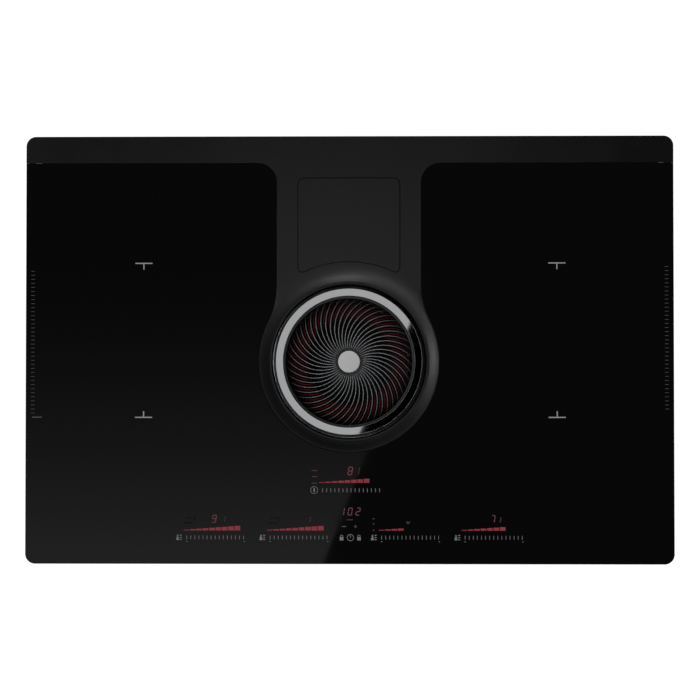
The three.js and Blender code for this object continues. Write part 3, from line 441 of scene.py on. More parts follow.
# A thin film lets the black glass through and looks darker.
faint_enamel = finish("faint grey enamel", "6a6b6d", "7c7d7f", 0.5, grain=0.3, depth=0.004)

zone_columns = (-247.4, 249.9)
zone_rows = ((104.2, -1), (-81.4, 1))
zone_width, zone_line, zone_stem = 20.6, 1.3, 7.4
marks = bmesh.new()
for x in zone_columns:
    for y, towards in zone_rows:
        dash(marks, x, y, zone_width, zone_line)
        stem_low, stem_high = sorted((y + towards * zone_line / 2, y + towards * zone_stem))
        bar(marks, x - zone_line / 2, x + zone_line / 2, stem_low, stem_high)
place("zone_marks", marks, white_enamel)

tick_pitch = 4.885
side_ticks = 36
side_tick_width, side_tick_height = 4.4, 0.5
scale = bmesh.new()
for x, rear_tick in ((-381.4, 94.8), (381.4, 99.7)):
    for i in range(side_ticks):
        dash(scale, x, rear_tick - i * tick_pitch, side_tick_width, side_tick_height)
bar(scale, -382, -370.5, -81.8, -80.6)
place("side_scales", scale, faint_enamel)

# Slider scales and control signs: a row of ticks under each display, with signs beside it.
# They are printed and fired with the marks above, in grey enamel.

SLIDERS = (-195.1, -94.8, 39.1, 139.3)
slider_y = -225.6
slider_ticks = 15
tick_width = 0.6
slider_tick_height = 4.5
vent_slider, vent_slider_y, vent_tick_height = -31.7, -168.9, 4.6
# Each sign is bars of (left, right, low, high), from a point at its foot.
PAN_SIGN = ((0, 3.2, 0, 3), (0.8, 2.4, 3.1, 6.4), (4.2, 6.6, 0.2, 1.2), (4.2, 6.6, 2.8, 3.8),
            (4.2, 6.6, 5.4, 6.4))
END_SIGNS = ((-0.9, 0.9, 0, 0.6), (68.4, 70, 0, 0.6))
LOCK_SIGN = ((-2.2, 2.2, 0, 4), (-1.6, -1, 4.1, 5.7), (1, 1.6, 4.1, 5.7), (-1.6, 1.6, 5.8, 6.4))


def sign(bm, x, y, bars):
    """A small sign made of printed bars."""
    for left, right, low, high in bars:
        bar(bm, x + left, x + right, y + low, y + high)


def circle(bm, x, y, radius, line):
    """A printed circle line."""
    inner, outer = (arc((x * MM, y * MM), (radius + offset) * MM, 0, TURN)[:-1]
                    for offset in (-line / 2, line / 2))
    print_top = print_level + print_height
    first = ring(bm, inner, print_level)
    last = walls(bm, first, [(outer, print_level), (outer, print_top), (inner, print_top)])
    wall(bm, last, first)


# A film between the two above, in thickness and in tone.
enamel = finish("fired grey enamel", "8d8f91", "a9abad", 0.5, grain=0.3, depth=0.004)
ticks = bmesh.new()
signs = bmesh.new()
for start in SLIDERS:
    for i in range(slider_ticks):
        dash(ticks, start + i * tick_pitch, slider_y, tick_width, slider_tick_height)
    sign(signs, start - 12.6, slider_y - 3.2, PAN_SIGN)
    sign(signs, start, slider_y - 5.2, END_SIGNS)
for i in range(slider_ticks):
    dash(ticks, vent_slider + i * tick_pitch, vent_slider_y, tick_width, vent_tick_height)
circle(signs, -41.8, -168.7, 4.2, 0.5)
bar(signs, -42.6, -41, -171, -166.4)
circle(signs, 1.7, slider_y, 3.8, 0.6)
bar(signs, 1.4, 2, -226, -221.4)
for x in (-8.9, 12):
    sign(signs, x, -229, LOCK_SIGN)
place("slider_scales", ticks, enamel)
place("control_signs", signs, enamel)

# Lit displays: light-emitting segments on the touch board, seen through the glass.
# Each slider has a wedge of bars that grows to the right, and a number above it.

WEDGES = ((-198.8, 9, -217.2), (-98.6, 9, -217.2), (35.8, 4, -217.2), (135, 7, -217.2), (-35.8, 8, -160))
wedge_pitch, wedge_gap = 7.66, 0.9
wedge_lowest, wedge_growth = 0.8, 4.6 / 8
SEGMENTS = {"0": "abcdef", "1": "bc", "2": "abged", "7": "abc", "8": "abcdefg", "9": "abcdfg", "u": "cde"}
# Value, left, foot, height and line width of each digit.
NUMBERS = (("9", -165.3, -207.6, 8.6, 0.9), ("7", 169.6, -207.2, 8.2, 0.9), ("u", 69, -208.6, 5.4, 0.9),
           ("8", -2, -150.4, 9.2, 1), ("1", -11.4, -198.7, 8.5, 1), ("0", -1.9, -198.7, 8.5, 1),
           ("2", 7.6, -198.7, 8.5, 1))
GHOSTS = (("1", -153, -206.6, 6, 0.7), ("1", -50.5, -207, 6, 0.8), ("1", 177.4, -207.6, 6.6, 1.2),
          ("1", 6.4, -150.4, 9.2, 0.6))


def lit(name, colour):
    """Light-emitting bars: a red glow, a little stronger here and there, about 4 mm apart."""
    weakest, strongest = 0.85, 1.1
    material, tree = bare_material(name)
    where = add(tree, "TexCoord").outputs["Object"]
    waver = add(tree, "TexNoise", {"Vector": where, "Scale": 1 / (4 * MM)}).outputs["Fac"]
    power = add(tree, "MapRange", {"Value": waver, "From Min": NOISE_LOW, "From Max": NOISE_HIGH,
                                   "To Min": weakest, "To Max": strongest}).outputs[0]
    shader = add(tree, "BsdfPrincipled", {"Base Color": linear("1a0405"), "Roughness": 0.3,
                                          "Emission Color": linear(colour), "Emission Strength": power})
    add(tree, "OutputMaterial", {"Surface": shader.outputs[0]})
    return material


def digit(bm, value, x, y, height, line):
    """A leaning seven-segment digit; x and y are its lower left corner."""
    width = height * 0.5
    middle = y + height / 2
    slant = 0.16
    upright = {"f": (0, middle), "b": (width, middle), "e": (0, y), "c": (width, y)}
    level = {"a": y + height, "g": middle, "d": y}
    gap = line * 0.35
    for name in SEGMENTS[value]:
        if name in upright:
            offset, start = upright[name]
            left = x + offset + slant * (start + gap - y)
            rise = height / 2 - 2 * gap
            bar(bm, left, left + line, start + gap, start + gap + rise, slant * rise)
        else:
            at = level[name]
            left = x + slant * (at - y)
            bar(bm, left + line, left + width, at - line / 2, at + line / 2, slant * line)


wedges = bmesh.new()
numbers = bmesh.new()
ghosts = bmesh.new()
for start, count, foot in WEDGES:
    for i in range(count):
        left = start + i * wedge_pitch
        bar(wedges, left, left + wedge_pitch - wedge_gap, foot, foot + wedge_lowest + wedge_growth * i)
for number in NUMBERS:
    digit(numbers, *number)
for number in GHOSTS:
    digit(ghosts, *number)
dash(ghosts, 1, -204.3, 7.2, 1)
for y in (-203.1, -209.1, -216.9):
    dash(ghosts, 29.5, y, 2.2, 1.2)
for y in (-145.2, -152.6, -160.4):
    dash(ghosts, -41.6, y, 6.4, 1)
# The wedges glow strongest, then the digits; bars that stand by only just show.
place("lit_wedges", wedges, lit("lit red bars", "80343b"))
place("lit_digits", numbers, lit("lit red digits", "6b4145"))
place("dim_segments", ghosts, lit("dim red segments", "4a3638"))

# Bridge brackets beside the two left displays, and the timer's minus and plus signs.
# The brackets are a matte black print, the timer's signs a thin film of enamel.

BRIDGE_SIGN = ((1.6, 14.1, 5.9, 6.9), (13.1, 14.1, 2.1, 5.7), (0, 11, 0, 1))
# It only takes the mirror off the glass.
black_print = finish("matte black print", "0c0d0d", "101112", 0.7, grain=0.3, depth=0.004)
brackets = bmesh.new()
for left in (-198.6, -97.3):
    sign(brackets, left, -208.7, BRIDGE_SIGN)
place("bridge_brackets", brackets, black_print)
adjusters = bmesh.new()
bar(adjusters, -8.4, -3.7, -212.8, -211.8)
bar(adjusters, 6.2, 9.2, -212.9, -211.7)
bar(adjusters, 7.1, 8.3, -213.8, -210.8)
place("adjusters", adjusters, faint_enamel)

# The centre insert is a band along the rear, a column and a collar round the vent, in one piece.
# It is moulded and set into the glass, and its collar falls in a smooth dish to the vent's socket.

insert_edge = 0.2 * MM
dish_reach = 120 * MM
dish_depth = 8.5 * MM
dish_curve = 2.2
land_radius = 95.3 * MM
lip_reach = 99 * MM
lip_slope = 5.5 * MM
lip_rise = 1 * MM
socket_radius = 93.5 * MM
socket_edge = 0.3 * MM
socket_floor = plate_top - 25.5 * MM
ledge_radius = 79 * MM
undercut_radius = 96.5 * MM
wall_thickness = 2.5 * MM
groove = 1.2 * MM
groove_edge = 0.3 * MM
groove_floor = plate_top - 3.3 * MM
lid_ledge = 4.7 * MM
opening_low = -3 * MM
pad_half = 65.7 * MM
pad_front, pad_rear = 97 * MM, 211.6 * MM


def insert_height(point):
    """How high the insert's upper face stands at a plan point."""
    radius = max((Vector((point[0], point[1])) - vent.xy).length, land_radius)
    share = max(dish_reach - radius, 0) / (dish_reach - socket_radius)
    rise = lip_rise * max(0, (lip_reach - radius) / lip_slope) ** 2
    return plate_top - dish_depth * share ** dish_curve + rise


def below_face(drop, highest=inf):
    """A level below the insert's upper face by a drop, and no higher than highest."""
    return lambda point: min(highest, insert_height(point) - drop)


def lid_outline(grow):
    """The lid's edge: straight sides and rear, its front an arc about the vent."""
    half = 60.7 * MM + grow
    rear = 206.6 * MM + grow
    rear_round = 7 * MM + grow
    front_round = 5 * MM + grow
    front_arc = 121.4 * MM - grow
    round_x = half - front_round
    round_y = vent.y + sqrt((front_arc + front_round) ** 2 - round_x ** 2)
    meet = atan2(round_y - vent.y, round_x)
    return [
        *arc((half - rear_round, rear - rear_round), rear_round, 0, QUARTER, 8),
        *arc((rear_round - half, rear - rear_round), rear_round, QUARTER, pi, 8),
        *arc((-round_x, round_y), front_round, pi, TURN - meet, 10)[:-1],
        *arc(vent, front_arc, pi - meet, meet, 36),
        *arc((round_x, round_y), front_round, pi + meet, TURN, 10)[1:],
    ]


def vent_circle(radius, count=240):
    """A closed circle of plan points about the vent's axis."""
    turns = [TURN * i / count for i in range(count)]
    return [vent.xy + Vector((cos(t), sin(t))) * radius for t in turns]


# An eroded tool leaves near black with a soft sheen. Its grain is drawn 0.9 mm wide, three times the
# real one, to show.
moulding = finish("grained anthracite moulding", "131416", "191a1c", 0.36, grain=0.9, depth=0.012,
                  blotch=90)
insert = bmesh.new()
outline = without_doubles([
    *plate_corner(1, rear_edge - corner_radius, 0),
    *plate_corner(-1, rear_edge - corner_radius, QUARTER),
    *insert_front(0),
])
# Each edge is rounded over in two steps, the first at this share of it.
first_step = 0.3
top_ring = ring(insert, inset(outline, insert_edge), insert_height)
outer_low = walls(insert, top_ring, [
    (inset(outline, insert_edge * first_step), below_face(insert_edge * first_step)),
    (outline, below_face(insert_edge)),
    (outline, glass_low),
])
lid_top = ring(insert, lid_outline(groove + groove_edge), plate_top)
opening_ring = walls(insert, lid_top, [
    (lid_outline(groove), plate_top - groove_edge),
    (lid_outline(groove), groove_floor),
    (lid_outline(-lid_ledge), groove_floor),
    (lid_outline(-lid_ledge), opening_low),
])
socket_top = ring(insert, vent_circle(socket_radius + socket_edge), insert_height)
socket_outer = walls(insert, socket_top, [(vent_circle(radius), level) for radius, level in (
    (socket_radius + first_step * socket_edge, below_face(first_step * socket_edge)),
    (socket_radius, below_face(socket_edge)),
    (socket_radius, socket_floor),
    (ledge_radius, socket_floor),
    (ledge_radius, socket_floor - wall_thickness),
    (undercut_radius, socket_floor - wall_thickness),
    *((r * MM, below_face(wall_thickness, glass_low)) for r in (96.5, 99, 102, 105, 108.1)),
)])
pad_corners = [Vector(c) for c in ((-pad_half, pad_front), (pad_half, pad_front), (pad_half, pad_rear),
                                   (-pad_half, pad_rear))]
pad_high = ring(insert, pad_corners, glass_low)
pad_low = walls(insert, pad_high, [(pad_corners, opening_low)])
# Circles of vertices carry the dish's curve where they are clear of the lid and the edges.
slope = []
slope_rows, slope_pitch = 13, 2 * MM
for row in range(slope_rows):
    radius = land_radius + row * slope_pitch
    for point in vent_circle(radius):
        on_column = abs(point.x) < 84 * MM and point.y > vent.y + 40 * MM
        on_insert = radius < collar_radius - 1 * MM or on_column
        off_lid = radius < 119 * MM or abs(point.x) > 63 * MM
        if on_insert and off_lid:
            slope.append(insert.verts.new((point.x, point.y, insert_height(point))))
cap(insert, [top_ring, lid_top, socket_top], slope)
cap(insert, [outer_low, pad_high, socket_outer])
cap(insert, [pad_low, opening_ring])
insert_moulding = place("insert_moulding", insert, moulding, "root", "insert_moulding", ["centre_insert"])

# The access lid lies flush in the column, and the odour filter cassette hangs under it.
# The lid is moulded like the insert; the cassette is a moulded frame with two carbon mats.

lid_thickness = 3 * MM
lid_edge = 0.35 * MM
# The insert's grain, in a shade that is a trace lighter.
lid_moulding = finish("grained lid moulding", "141517", "1a1b1e", 0.36, grain=0.9, depth=0.012,
                      blotch=90)
lid_plate = plate("lid_plate", lid_outline(0), plate_top - lid_thickness, plate_top, lid_edge, lid_moulding,
                  body="filter_cassette", slot="lid_moulding", stands_for=["access_lid"])
# Carbon grains of 1.4 mm stuck on fleece: the dullest black of all.
carbon = finish("pleated carbon mat", "0d0d0e", "1c1c1e", 0.95, grain=1.4, depth=0.3)
softened("cassette_frame", duct_plastic, "duct_plastic", edge=0.4, body="filter_cassette")
for side in SIDES:
    softened("odour_filter_" + side, carbon, "carbon", edge=0.4, body="filter_cassette")

# The grease basket hangs under the baffle ring, and is turned off it for washing.
# It is stamped from stainless steel sheet, with its edges rolled.

# The die leaves fine upright lines, drawn 0.7 mm wide, coarser than real, to show.
stamped = finish("stamped stainless steel", "8b8d90", "b5b7ba", 0.3, 1.0, grain=0.7, depth=0.01,
                 stretch=(1, 1, 0.1))
softened("grease_basket", stamped, "filter_steel", edge=0.3, body="grease_cup")

# The baffle ring is the lower row of fifty blades, set half a pitch beside those of the grille.
# Its blades and rim are anodised aluminium, set in a black moulded carrier.

BLADES = 50
pitch = TURN / BLADES
phase = 0.417 * pitch
root_radius = 14.5 * MM
sweep_radius = 48 * MM
baffle_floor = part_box("baffle_ring")[0].z
baffle_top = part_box("baffle_ring")[1].z
baffle_inner, baffle_outer = 50 * MM, 77.5 * MM
baffle_thin, baffle_thick = 1.1 * MM, 1.5 * MM
baffle_rim = (76.7 * MM, 78.7 * MM)
carrier_inner, carrier_height = 41 * MM, 3 * MM
carrier_collar, collar_height = (40 * MM, 42 * MM), 2 * MM
rim_edge = 0.3 * MM


def sweep_point(turn, side, angle):
    """A plan point on a blade: turn along its arc, side across it."""
    reach = sweep_radius + side
    x = root_radius + reach * sin(turn)
    y = reach * cos(turn) - sweep_radius
    c, s = cos(angle), sin(angle)
    return vent.xy + Vector((x * c - y * s, x * s + y * c))


def sweep_at(radius):
    """How far a blade's arc has turned where it reaches a radius."""
    reach = hypot(root_radius, sweep_radius)
    rise = radius ** 2 - root_radius ** 2 - 2 * sweep_radius ** 2
    return atan2(sweep_radius, root_radius) + asin(rise / (2 * sweep_radius * reach))


def blade(bm, angle, inner, outer, thin, thick, low, top):
    """One blade, thicker outwards and round on its upper edge, whose height top gives."""
    first, last = sweep_at(inner), sweep_at(outer)
    crown = (2.36, 1.57, 0.79)
    rows = []
    steps = 14
    for i in range(steps + 1):
        share = i / steps
        crest = top(inner + (outer - inner) * share)
        half = (thin + (thick - thin) * share) / 2
        section = [(-half, None), (-half, -half)]
        section += [(half * cos(t), half * sin(t) - half) for t in crown]
        section += [(half, -half), (half, None)]
        turn = first + (last - first) * share
        row = []
        for side, fall in section:
            point = sweep_point(turn, side, angle)
            row.append(bm.verts.new((point.x, point.y, low if fall is None else crest + fall)))
        rows.append(row)
    for one, two in zip(rows, rows[1:]):
        for i in range(len(section)):
            bm.faces.new((one[i - 1], one[i], two[i], two[i - 1]))
    bm.faces.new(rows[0])
    bm.faces.new(rows[-1])


def turned(bm, profile, fillet, steps=3, segments=180):
    """A closed profile of (radius, height), its corners filleted, turned about the vent's axis."""
    rows = []
    for radius, level in filleted(profile, fillet, steps):
        if radius:
            rows.append(ring(bm, vent_circle(radius, segments), level))
        else:
            rows.append([bm.verts.new((vent.x, vent.y, level))])
    for one, two in zip(rows, rows[1:] + rows[:1]):
        if len(one) > 1 and len(two) > 1:
            wall(bm, one, two)
        elif len(one) + len(two) > 2:
            tip, edge_ring = (one[0], two) if len(one) == 1 else (two[0], one)
            for i in range(segments):
                bm.faces.new((tip, edge_ring[i - 1], edge_ring[i]))


def filleted(profile, radius, steps):
    """The closed profile with each corner off the axis replaced by an arc."""
    on_axis, straight, most_of_side = 0.1 * MM, 3.1, 0.45
    made = []
    for i, corner in enumerate(profile):
        here = Vector(corner)
        before, after = Vector(profile[i - 1]), Vector(profile[(i + 1) % len(profile)])
        a, b = (before - here).normalized(), (after - here).normalized()
        bend = a.angle(b)
        if here.x < on_axis or bend > straight:
            made.append(tuple(here))
            continue
        side = min((before - here).length, (after - here).length)
        reach = min(radius / tan(bend / 2), side * most_of_side)
        start, end = here + a * reach, here + b * reach
        centre = here + (a + b).normalized() * (reach / cos(bend / 2))
        size = (start - centre).length
        for k in range(steps + 1):
            mixed = start.lerp(end, k / steps) - centre
            made.append(tuple(centre + mixed.normalized() * size))
    return made


def hoop(inner, outer, low, high):
    """The profile of a plain ring, for turned()."""
    return [(inner, low), (outer, low), (outer, high), (inner, high)]


def vent_radius(tree):
    """A socket that gives each point's distance from the vent's axis."""
    where = add(tree, "TexCoord").outputs["Object"]
    centred = add(tree, "VectorMath", {0: where, 1: vent}, operation="SUBTRACT").outputs[0]
    flat = add(tree, "VectorMath", {0: centred, 1: (1, 1, 0)}, operation="MULTIPLY").outputs[0]
    return add(tree, "VectorMath", {0: flat}, operation="LENGTH").outputs["Value"]


def paint_shade(material, start, end, left=0.0):
    """Paints shade into a finish by darkening it from one radius to another, down to the share that is
    left.
    """
    tree = material.node_tree
    shader = tree.nodes["Principled BSDF"]
    colour = shader.inputs["Base Color"].links[0].from_socket
    share = add(tree, "MapRange", {"Value": vent_radius(tree), "From Min": start, "From Max": end,
                                   "To Min": 1, "To Max": left}).outputs[0]
    shaded_colour = add(tree, "Mix", {0: share, 6: linear("000000"), 7: colour}, data_type="RGBA").outputs[2]
    tree.links.new(shaded_colour, shader.inputs["Base Color"])


def on_cartridge(name, bm, material, slot, *stands_for):
    """Places a piece of the vent cartridge, which lifts straight out."""
    return place(name, bm, material, "vent_cartridge", slot, stands_for)


# Dyed anodising: a deep matte red. Both ends of the blades are darkened with painted shade, under the
# grille at the inner end and under the ring at the rim.
red_anodised = finish("red anodised aluminium", "5a171c", "6c2127", 0.5, 0.3, grain=0.5, depth=0.01)
paint_shade(red_anodised, 60 * MM, 49 * MM)
paint_shade(red_anodised, 66 * MM, 77 * MM, 0.15)
baffle = bmesh.new()
carrier = bmesh.new()
for i in range(BLADES):
    angle = (i + 0.5) * pitch + phase
    blade(baffle, angle, baffle_inner, baffle_outer, baffle_thin, baffle_thick, baffle_floor,
          lambda radius: baffle_top)
    blade(carrier, angle, carrier_inner, baffle_inner, baffle_thin, baffle_thin, baffle_floor,
          lambda radius: baffle_floor + carrier_height)
turned(baffle, hoop(*baffle_rim, baffle_floor, baffle_top), rim_edge)
turned(carrier, hoop(*carrier_collar, baffle_floor, baffle_floor + collar_height), rim_edge)
baffle_blades = on_cartridge("baffle_blades", baffle, red_anodised, "baffle_metal", "baffle_ring")
on_cartridge("baffle_carrier", carrier, duct_plastic, "duct_plastic")

# The grille has fifty thin blades that leave the hub and sweep clockwise to a narrow rim.
# Blades, hub collar and rim are aluminium, machined in one and anodised.

ring_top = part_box("trim_ring")[1].z
grille_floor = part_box("turbine_grille")[0].z
grille_top = ring_top - 2.6 * MM
grille_inner, grille_outer = 16.4 * MM, 76.8 * MM
grille_thin, grille_thick = 0.58 * MM, 0.84 * MM
crest_radius, crest_reach = 56 * MM, 21 * MM
crest_fall, crest_curve = 8 * MM, 1.6
hub_inner, hub_outer, hub_chamfer = 14 * MM, 16.9 * MM, 0.5 * MM
rim_inner, rim_outer, rim_slope, rim_fillet = 76.4 * MM, 78.7 * MM, 0.4 * MM, 0.4 * MM


def crest(radius):
    """The blades' upper edge: level from the hub, then falling towards the rim."""
    return grille_top - crest_fall * max(0, (radius - crest_radius) / crest_reach) ** crest_curve


# Anodised over a blasted surface: a soft satin grey that falls into shade at the rim.
gunmetal = finish("gunmetal anodised aluminium", "666769", "707173", 0.46, 0.3, grain=0.5, depth=0.006)
paint_shade(gunmetal, 66 * MM, 76 * MM, 0.2)
# Collar and rim are the same aluminium in a darker copy: painted shade where the blades gather at the hub
# and under the ring.
shaded_gunmetal = finish("gunmetal aluminium with painted shade", "3e3f41", "464749", 0.46, 0.3, grain=0.5, depth=0.006)
grille = bmesh.new()
for i in range(BLADES):
    blade(grille, i * pitch + phase, grille_inner, grille_outer, grille_thin, grille_thick,
          grille_floor, crest)
grille_blades = on_cartridge("grille_blades", grille, gunmetal, "blade_metal", "turbine_grille")
grille_rims = bmesh.new()
turned(grille_rims, [
    (hub_inner, grille_floor), (hub_outer, grille_floor), (hub_outer, grille_top),
    (hub_outer - hub_chamfer, grille_top + hub_chamfer), (hub_inner, grille_top + hub_chamfer),
], rim_edge)
turned(grille_rims, [
    (rim_inner, grille_floor), (rim_outer, grille_floor), (rim_outer, grille_top),
    (rim_inner, grille_top - rim_slope),
], rim_fillet)
on_cartridge("grille_rims", grille_rims, shaded_gunmetal, "blade_metal")

# The hub cap is a plain disc of stainless steel, pressed into the grille's hub.
# It is turned, rounded over at its edge and finished satin.

cap_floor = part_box("hub_cap")[0].z
cap_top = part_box("hub_cap")[1].z
cap_radius = 13.2 * MM
cap_edge = 0.6 * MM


def polished(name, dark, light, rough):
    """Turned and polished steel: a bright mirror with circular lines, drawn 0.35 mm wide to show."""
    line_pitch, line_depth, cloud_width = 0.35 * MM, 0.0002 * MM, 9 * MM
    unevenness = 0.2
    material, tree = bare_material(name)
    where = add(tree, "TexCoord").outputs["Object"]
    lines = add(tree, "TexNoise", {"W": vent_radius(tree), "Scale": 1 / line_pitch},
                noise_dimensions="1D").outputs["Fac"]
    cloud = add(tree, "TexNoise", {"Vector": where, "Scale": 1 / cloud_width}).outputs["Fac"]
    share = add(tree, "Math", {0: lines, 1: cloud}, operation="MULTIPLY").outputs[0]
    colour = add(tree, "Mix", {0: share, 6: linear(dark), 7: linear(light)}, data_type="RGBA").outputs[2]
    dull = add(tree, "MapRange", {"Value": cloud, "To Min": rough * (1 - unevenness),
                                  "To Max": rough * (1 + unevenness)}).outputs[0]
    bump = add(tree, "Bump", {"Height": lines, "Distance": line_depth}).outputs[0]
    shader = add(tree, "BsdfPrincipled", {"Base Color": colour, "Metallic": 1, "Roughness": dull,
                                          "Normal": bump})
    add(tree, "OutputMaterial", {"Surface": shader.outputs[0]})
    return material


steel = polished("polished stainless steel", "dcdddf", "ececed", 0.025)
# Satin blurs the mirror to a pale, even disc.
satin_steel = polished("satin stainless steel", "efeff0", "f8f8f9", 0.12)
hub = bmesh.new()
turned(hub, hoop(0, cap_radius, cap_floor, cap_top), cap_edge, segments=96)
hub_disc = on_cartridge("hub_disc", hub, satin_steel, "polished_steel", "hub_cap")

# The trim ring frames the grille, and the cartridge is lifted out by it.
# It is turned from stainless steel and polished, with a flange that reaches down inside.

ring_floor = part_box("trim_ring")[0].z
ring_inner, flange_outer, ring_outer = 79.1 * MM, 83.2 * MM, 87.9 * MM
ring_underside = plate_top - 4 * MM
ring_edge = 0.35 * MM
trim = bmesh.new()
turned(trim, [
    (ring_inner, ring_floor), (flange_outer, ring_floor), (flange_outer, ring_underside),
    (ring_outer, ring_underside), (ring_outer, ring_top), (ring_inner, ring_top),
], ring_edge, steps=4, segments=240)
polished_ring = on_cartridge("ring_polished", trim, steel, "polished_steel", "trim_ring")

# The skirt is the cartridge's lower flange, a dark line between the ring and the collar.
# It is turned from steel, rounded and blackened.

skirt_inner, skirt_outer = 84 * MM, 92.3 * MM
skirt_floor, skirt_top = -6 * MM, -2.2 * MM
skirt_round = 1.4 * MM
# Blackened steel keeps its shine but loses its light tone.
dark_metal = finish("dark polished steel", "717275", "7d7e81", 0.35, 1.0, grain=0.5, depth=0.002)
skirt = bmesh.new()
turned(skirt, hoop(skirt_inner, skirt_outer, skirt_floor, skirt_top), skirt_round, steps=6)
ring_skirt = on_cartridge("ring_skirt", skirt, dark_metal, "blade_metal")

# The floor under the part and the room's light, both white to the camera.
# The floor keeps the part's soft shadow, and is clear when seen from below.

bpy.context.scene.view_settings.view_transform = "Standard"


def stage(name, corners, level, material, hidden_from=()):
    """A flat piece of the studio, which isn't part of the object."""
    mesh = bpy.data.meshes.new(name)
    mesh.from_pydata([(x, y, level) for x, y in corners], [], [tuple(range(len(corners)))])
    mesh.materials.append(material)
    made = new_object(name, mesh)
    for ray in hidden_from:
        setattr(made, "visible_" + ray, False)
    return made


def square(half):
    """The corners of a square about the plate's middle."""
    return [(-half, -half), (half, -half), (half, half), (-half, half)]


# A pale matte floor that also shines, so that it is white under the plain light.
white_floor, tree = bare_material("white floor")
shine = add(tree, "Emission", {"Strength": 0.86})
matte = add(tree, "BsdfDiffuse", {"Color": linear("d0d0d0")})
together = add(tree, "AddShader", {0: shine.outputs[0], 1: matte.outputs[0]})
clear = add(tree, "BsdfTransparent").outputs[0]
below = add(tree, "NewGeometry").outputs["Backfacing"]
one_sided = add(tree, "MixShader", {0: below, 1: together.outputs[0], 2: clear})
add(tree, "OutputMaterial", {"Surface": one_sided.outputs[0]})
floor_half, floor_gap = 8, 0.5 * MM
stage("floor", square(floor_half), packed_box[0].z - floor_gap, white_floor)

room_light = 0.4
world = bpy.data.worlds.new("studio")
bpy.context.scene.world = world
world.use_nodes = True
tree = world.node_tree
tree.nodes.clear()
seen = add(tree, "LightPath")
direct = add(tree, "Math", {0: seen.outputs["Is Camera Ray"], 1: seen.outputs["Is Glossy Ray"]},
             operation="MAXIMUM").outputs[0]
room = add(tree, "Background", {"Color": linear("ffffff"), "Strength": room_light})
white = add(tree, "Background", {"Color": linear("ffffff"), "Strength": 1})
chosen = add(tree, "MixShader", {0: direct, 1: room.outputs[0], 2: white.outputs[0]})
add(tree, "OutputWorld", {"Surface": chosen.outputs[0]})

# Dark cloth over the plate and pale cards before it, for the polished pieces to mirror.
# Only mirrors show them, each card in its own pieces. Corners and heights are in metres.

all_but_mirrors = ("camera", "diffuse", "shadow", "transmission", "volume_scatter")
card_level = 2.4
fade_start, fade_length = 0.295, 0.732
ring_corners = [(-2, -1.6), (-0.683, -1.6), (0.789, 1.6), (-2, 1.6)]
insert_corners = [(-9.46, 7.39), (-0.35, -0.606), (11.13, -4.5), (4.1, -11.28), (-11.8, -2.08)]
edge_corners = [(3, 6), (12, 6), (12, -12), (-3, -12), (-3, -3.5), (3, -3.5)]
glass_corners = [(-2, -1.6), (-0.546, -1.6), (0.702, 1.6), (-2, 1.6)]


def shines_on(light, *objects, state="INCLUDE"):
    """Lets a light or card shine on these objects alone, or on all but these."""
    group = bpy.data.collections.new(light.name + " group")
    for made in objects:
        group.objects.link(made)
    for member in group.collection_objects:
        member.light_linking.link_state = state
    light.light_linking.receiver_collection = group


def card(name, corners, rise, strength, *mirrors, fades=False):
    """A card that these pieces alone mirror, with an even glow or one that fades to the rear.

    rise is its height above the lowest card. With no strength it is black cloth.
    """
    material, tree = bare_material(name.replace("_", " "))
    light = add(tree, "Emission", {"Strength": strength})
    if fades:
        spot = add(tree, "SeparateXYZ", {0: add(tree, "TexCoord").outputs["Object"]}).outputs["Y"]
        share = add(tree, "MapRange", {"Value": spot, "From Min": fade_start,
                                       "From Max": fade_start - fade_length, "To Max": 1}).outputs[0]
        power = add(tree, "Math", {0: share, 1: 2}, operation="POWER").outputs[0]
        power = add(tree, "Math", {0: power, 1: strength}, operation="MULTIPLY").outputs[0]
        tree.links.new(power, light.inputs["Strength"])
    clear = add(tree, "BsdfTransparent").outputs[0]
    both = add(tree, "AddShader", {0: light.outputs[0], 1: clear}).outputs[0]
    add(tree, "OutputMaterial", {"Surface": both if strength else light.outputs[0]})
    made = stage(name, corners, card_level + rise, material, all_but_mirrors)
    if mirrors:
        shines_on(made, *mirrors)


card("dark_cloth", square(40), 0.04, 0)
card("ring_card", ring_corners, 0, 0.46, polished_ring, hub_disc)
card("insert_card", insert_corners, 0.02, 0.55, insert_moulding, lid_plate)
card("edge_card", edge_corners, 0.01, 0.8, polished_ring)
card("glass_card", glass_corners, 0.01, 0.305, glass_plate, fades=True)

# Soft round lamps: in front, at the left and between them, which shape the insert.
# Three more light the grille, the skirt and the insert alone. In metres, degrees and watts.

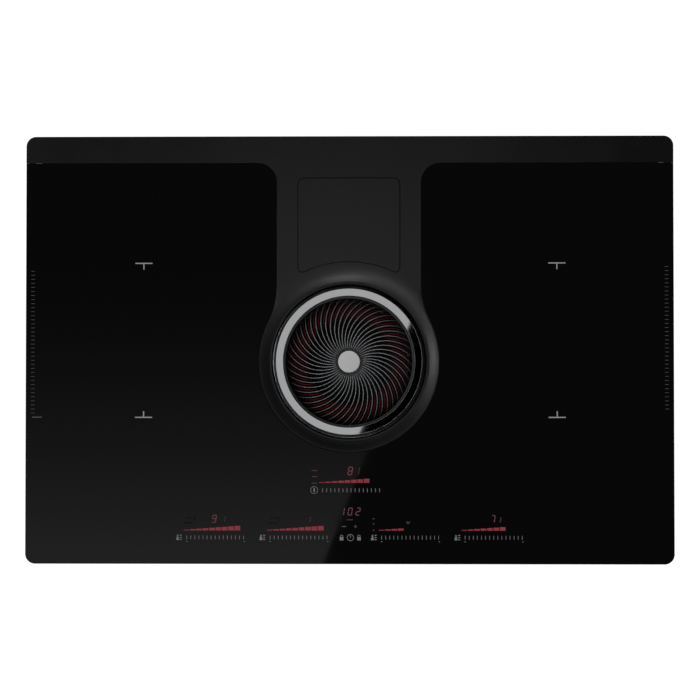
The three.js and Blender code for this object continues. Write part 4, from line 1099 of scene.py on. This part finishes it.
lamp_reach = 2
front_lamps = (("front_lamp", (0, -1), 45, 0.22, 30), ("left_lamp", (-1, 0), 46, 0.15, 27),
               ("corner_lamp", (-0.5, -0.866), 58, 0.5, 35))
grille_cone = degrees(2 * atan(78 * MM / lamp_reach))


def lamp(name, position, target, radius, cone, power, only=()):
    """A soft lamp turned to a point, on these pieces only, or on all but the mirrors."""
    light = bpy.data.lights.new(name, "SPOT")
    light.shadow_soft_size = radius
    light.spot_size = radians(cone)
    light.spot_blend = 1
    light.energy = power
    made = new_object(name, light)
    made.location = position
    made.rotation_euler = (Vector(target) - Vector(position)).to_track_quat("-Z", "Y").to_euler()
    made.visible_camera = False
    if only:
        shines_on(made, *only)
    else:
        shines_on(made, polished_ring, hub_disc, glass_plate, state="EXCLUDE")
    return made


for name, (x, y), height, radius, power in front_lamps:
    level = lamp_reach * cos(radians(height))
    rise = lamp_reach * sin(radians(height))
    lamp(name, (x * level, y * level, rise), vent, radius, 12, power)
grille_lamp = lamp("grille_lamp", (vent.x, vent.y, lamp_reach), vent, 0.01, grille_cone, 260,
                   (grille_blades, baffle_blades))
grille_lamp.visible_glossy = False
lamp("rim_lamp", (-1.4, 0.15, 1.4), vent, 0.7, 20, 150, (ring_skirt,))
lamp("pool_lamp", (-0.01, 0.095, 1.15), (-0.01, 0.11, 0), 0.35, 100, 1.82, (insert_moulding, lid_plate))

# The camera stands above the plate, about a degree off to the front and to the right.
# Its long lens keeps the plate's sides parallel.

camera_distance = 2.339
tilt_right, tilt_front = radians(0.97), radians(1.25)
target = Vector((1.2 * MM, -0.4 * MM, plate_top))
camera = new_object("camera", bpy.data.cameras.new("camera"))
bpy.context.scene.camera = camera
camera.data.lens = 100
camera.data.clip_start = 0.01
away = Vector((tan(tilt_right), -tan(tilt_front), 1)).normalized()
forward = -away
right = forward.cross(Vector((0, 1, 0))).normalized()
up = right.cross(forward)
camera.location = target + away * camera_distance
camera.rotation_mode = "QUATERNION"
camera.rotation_quaternion = Matrix((right, up, -forward)).transposed().to_quaternion()
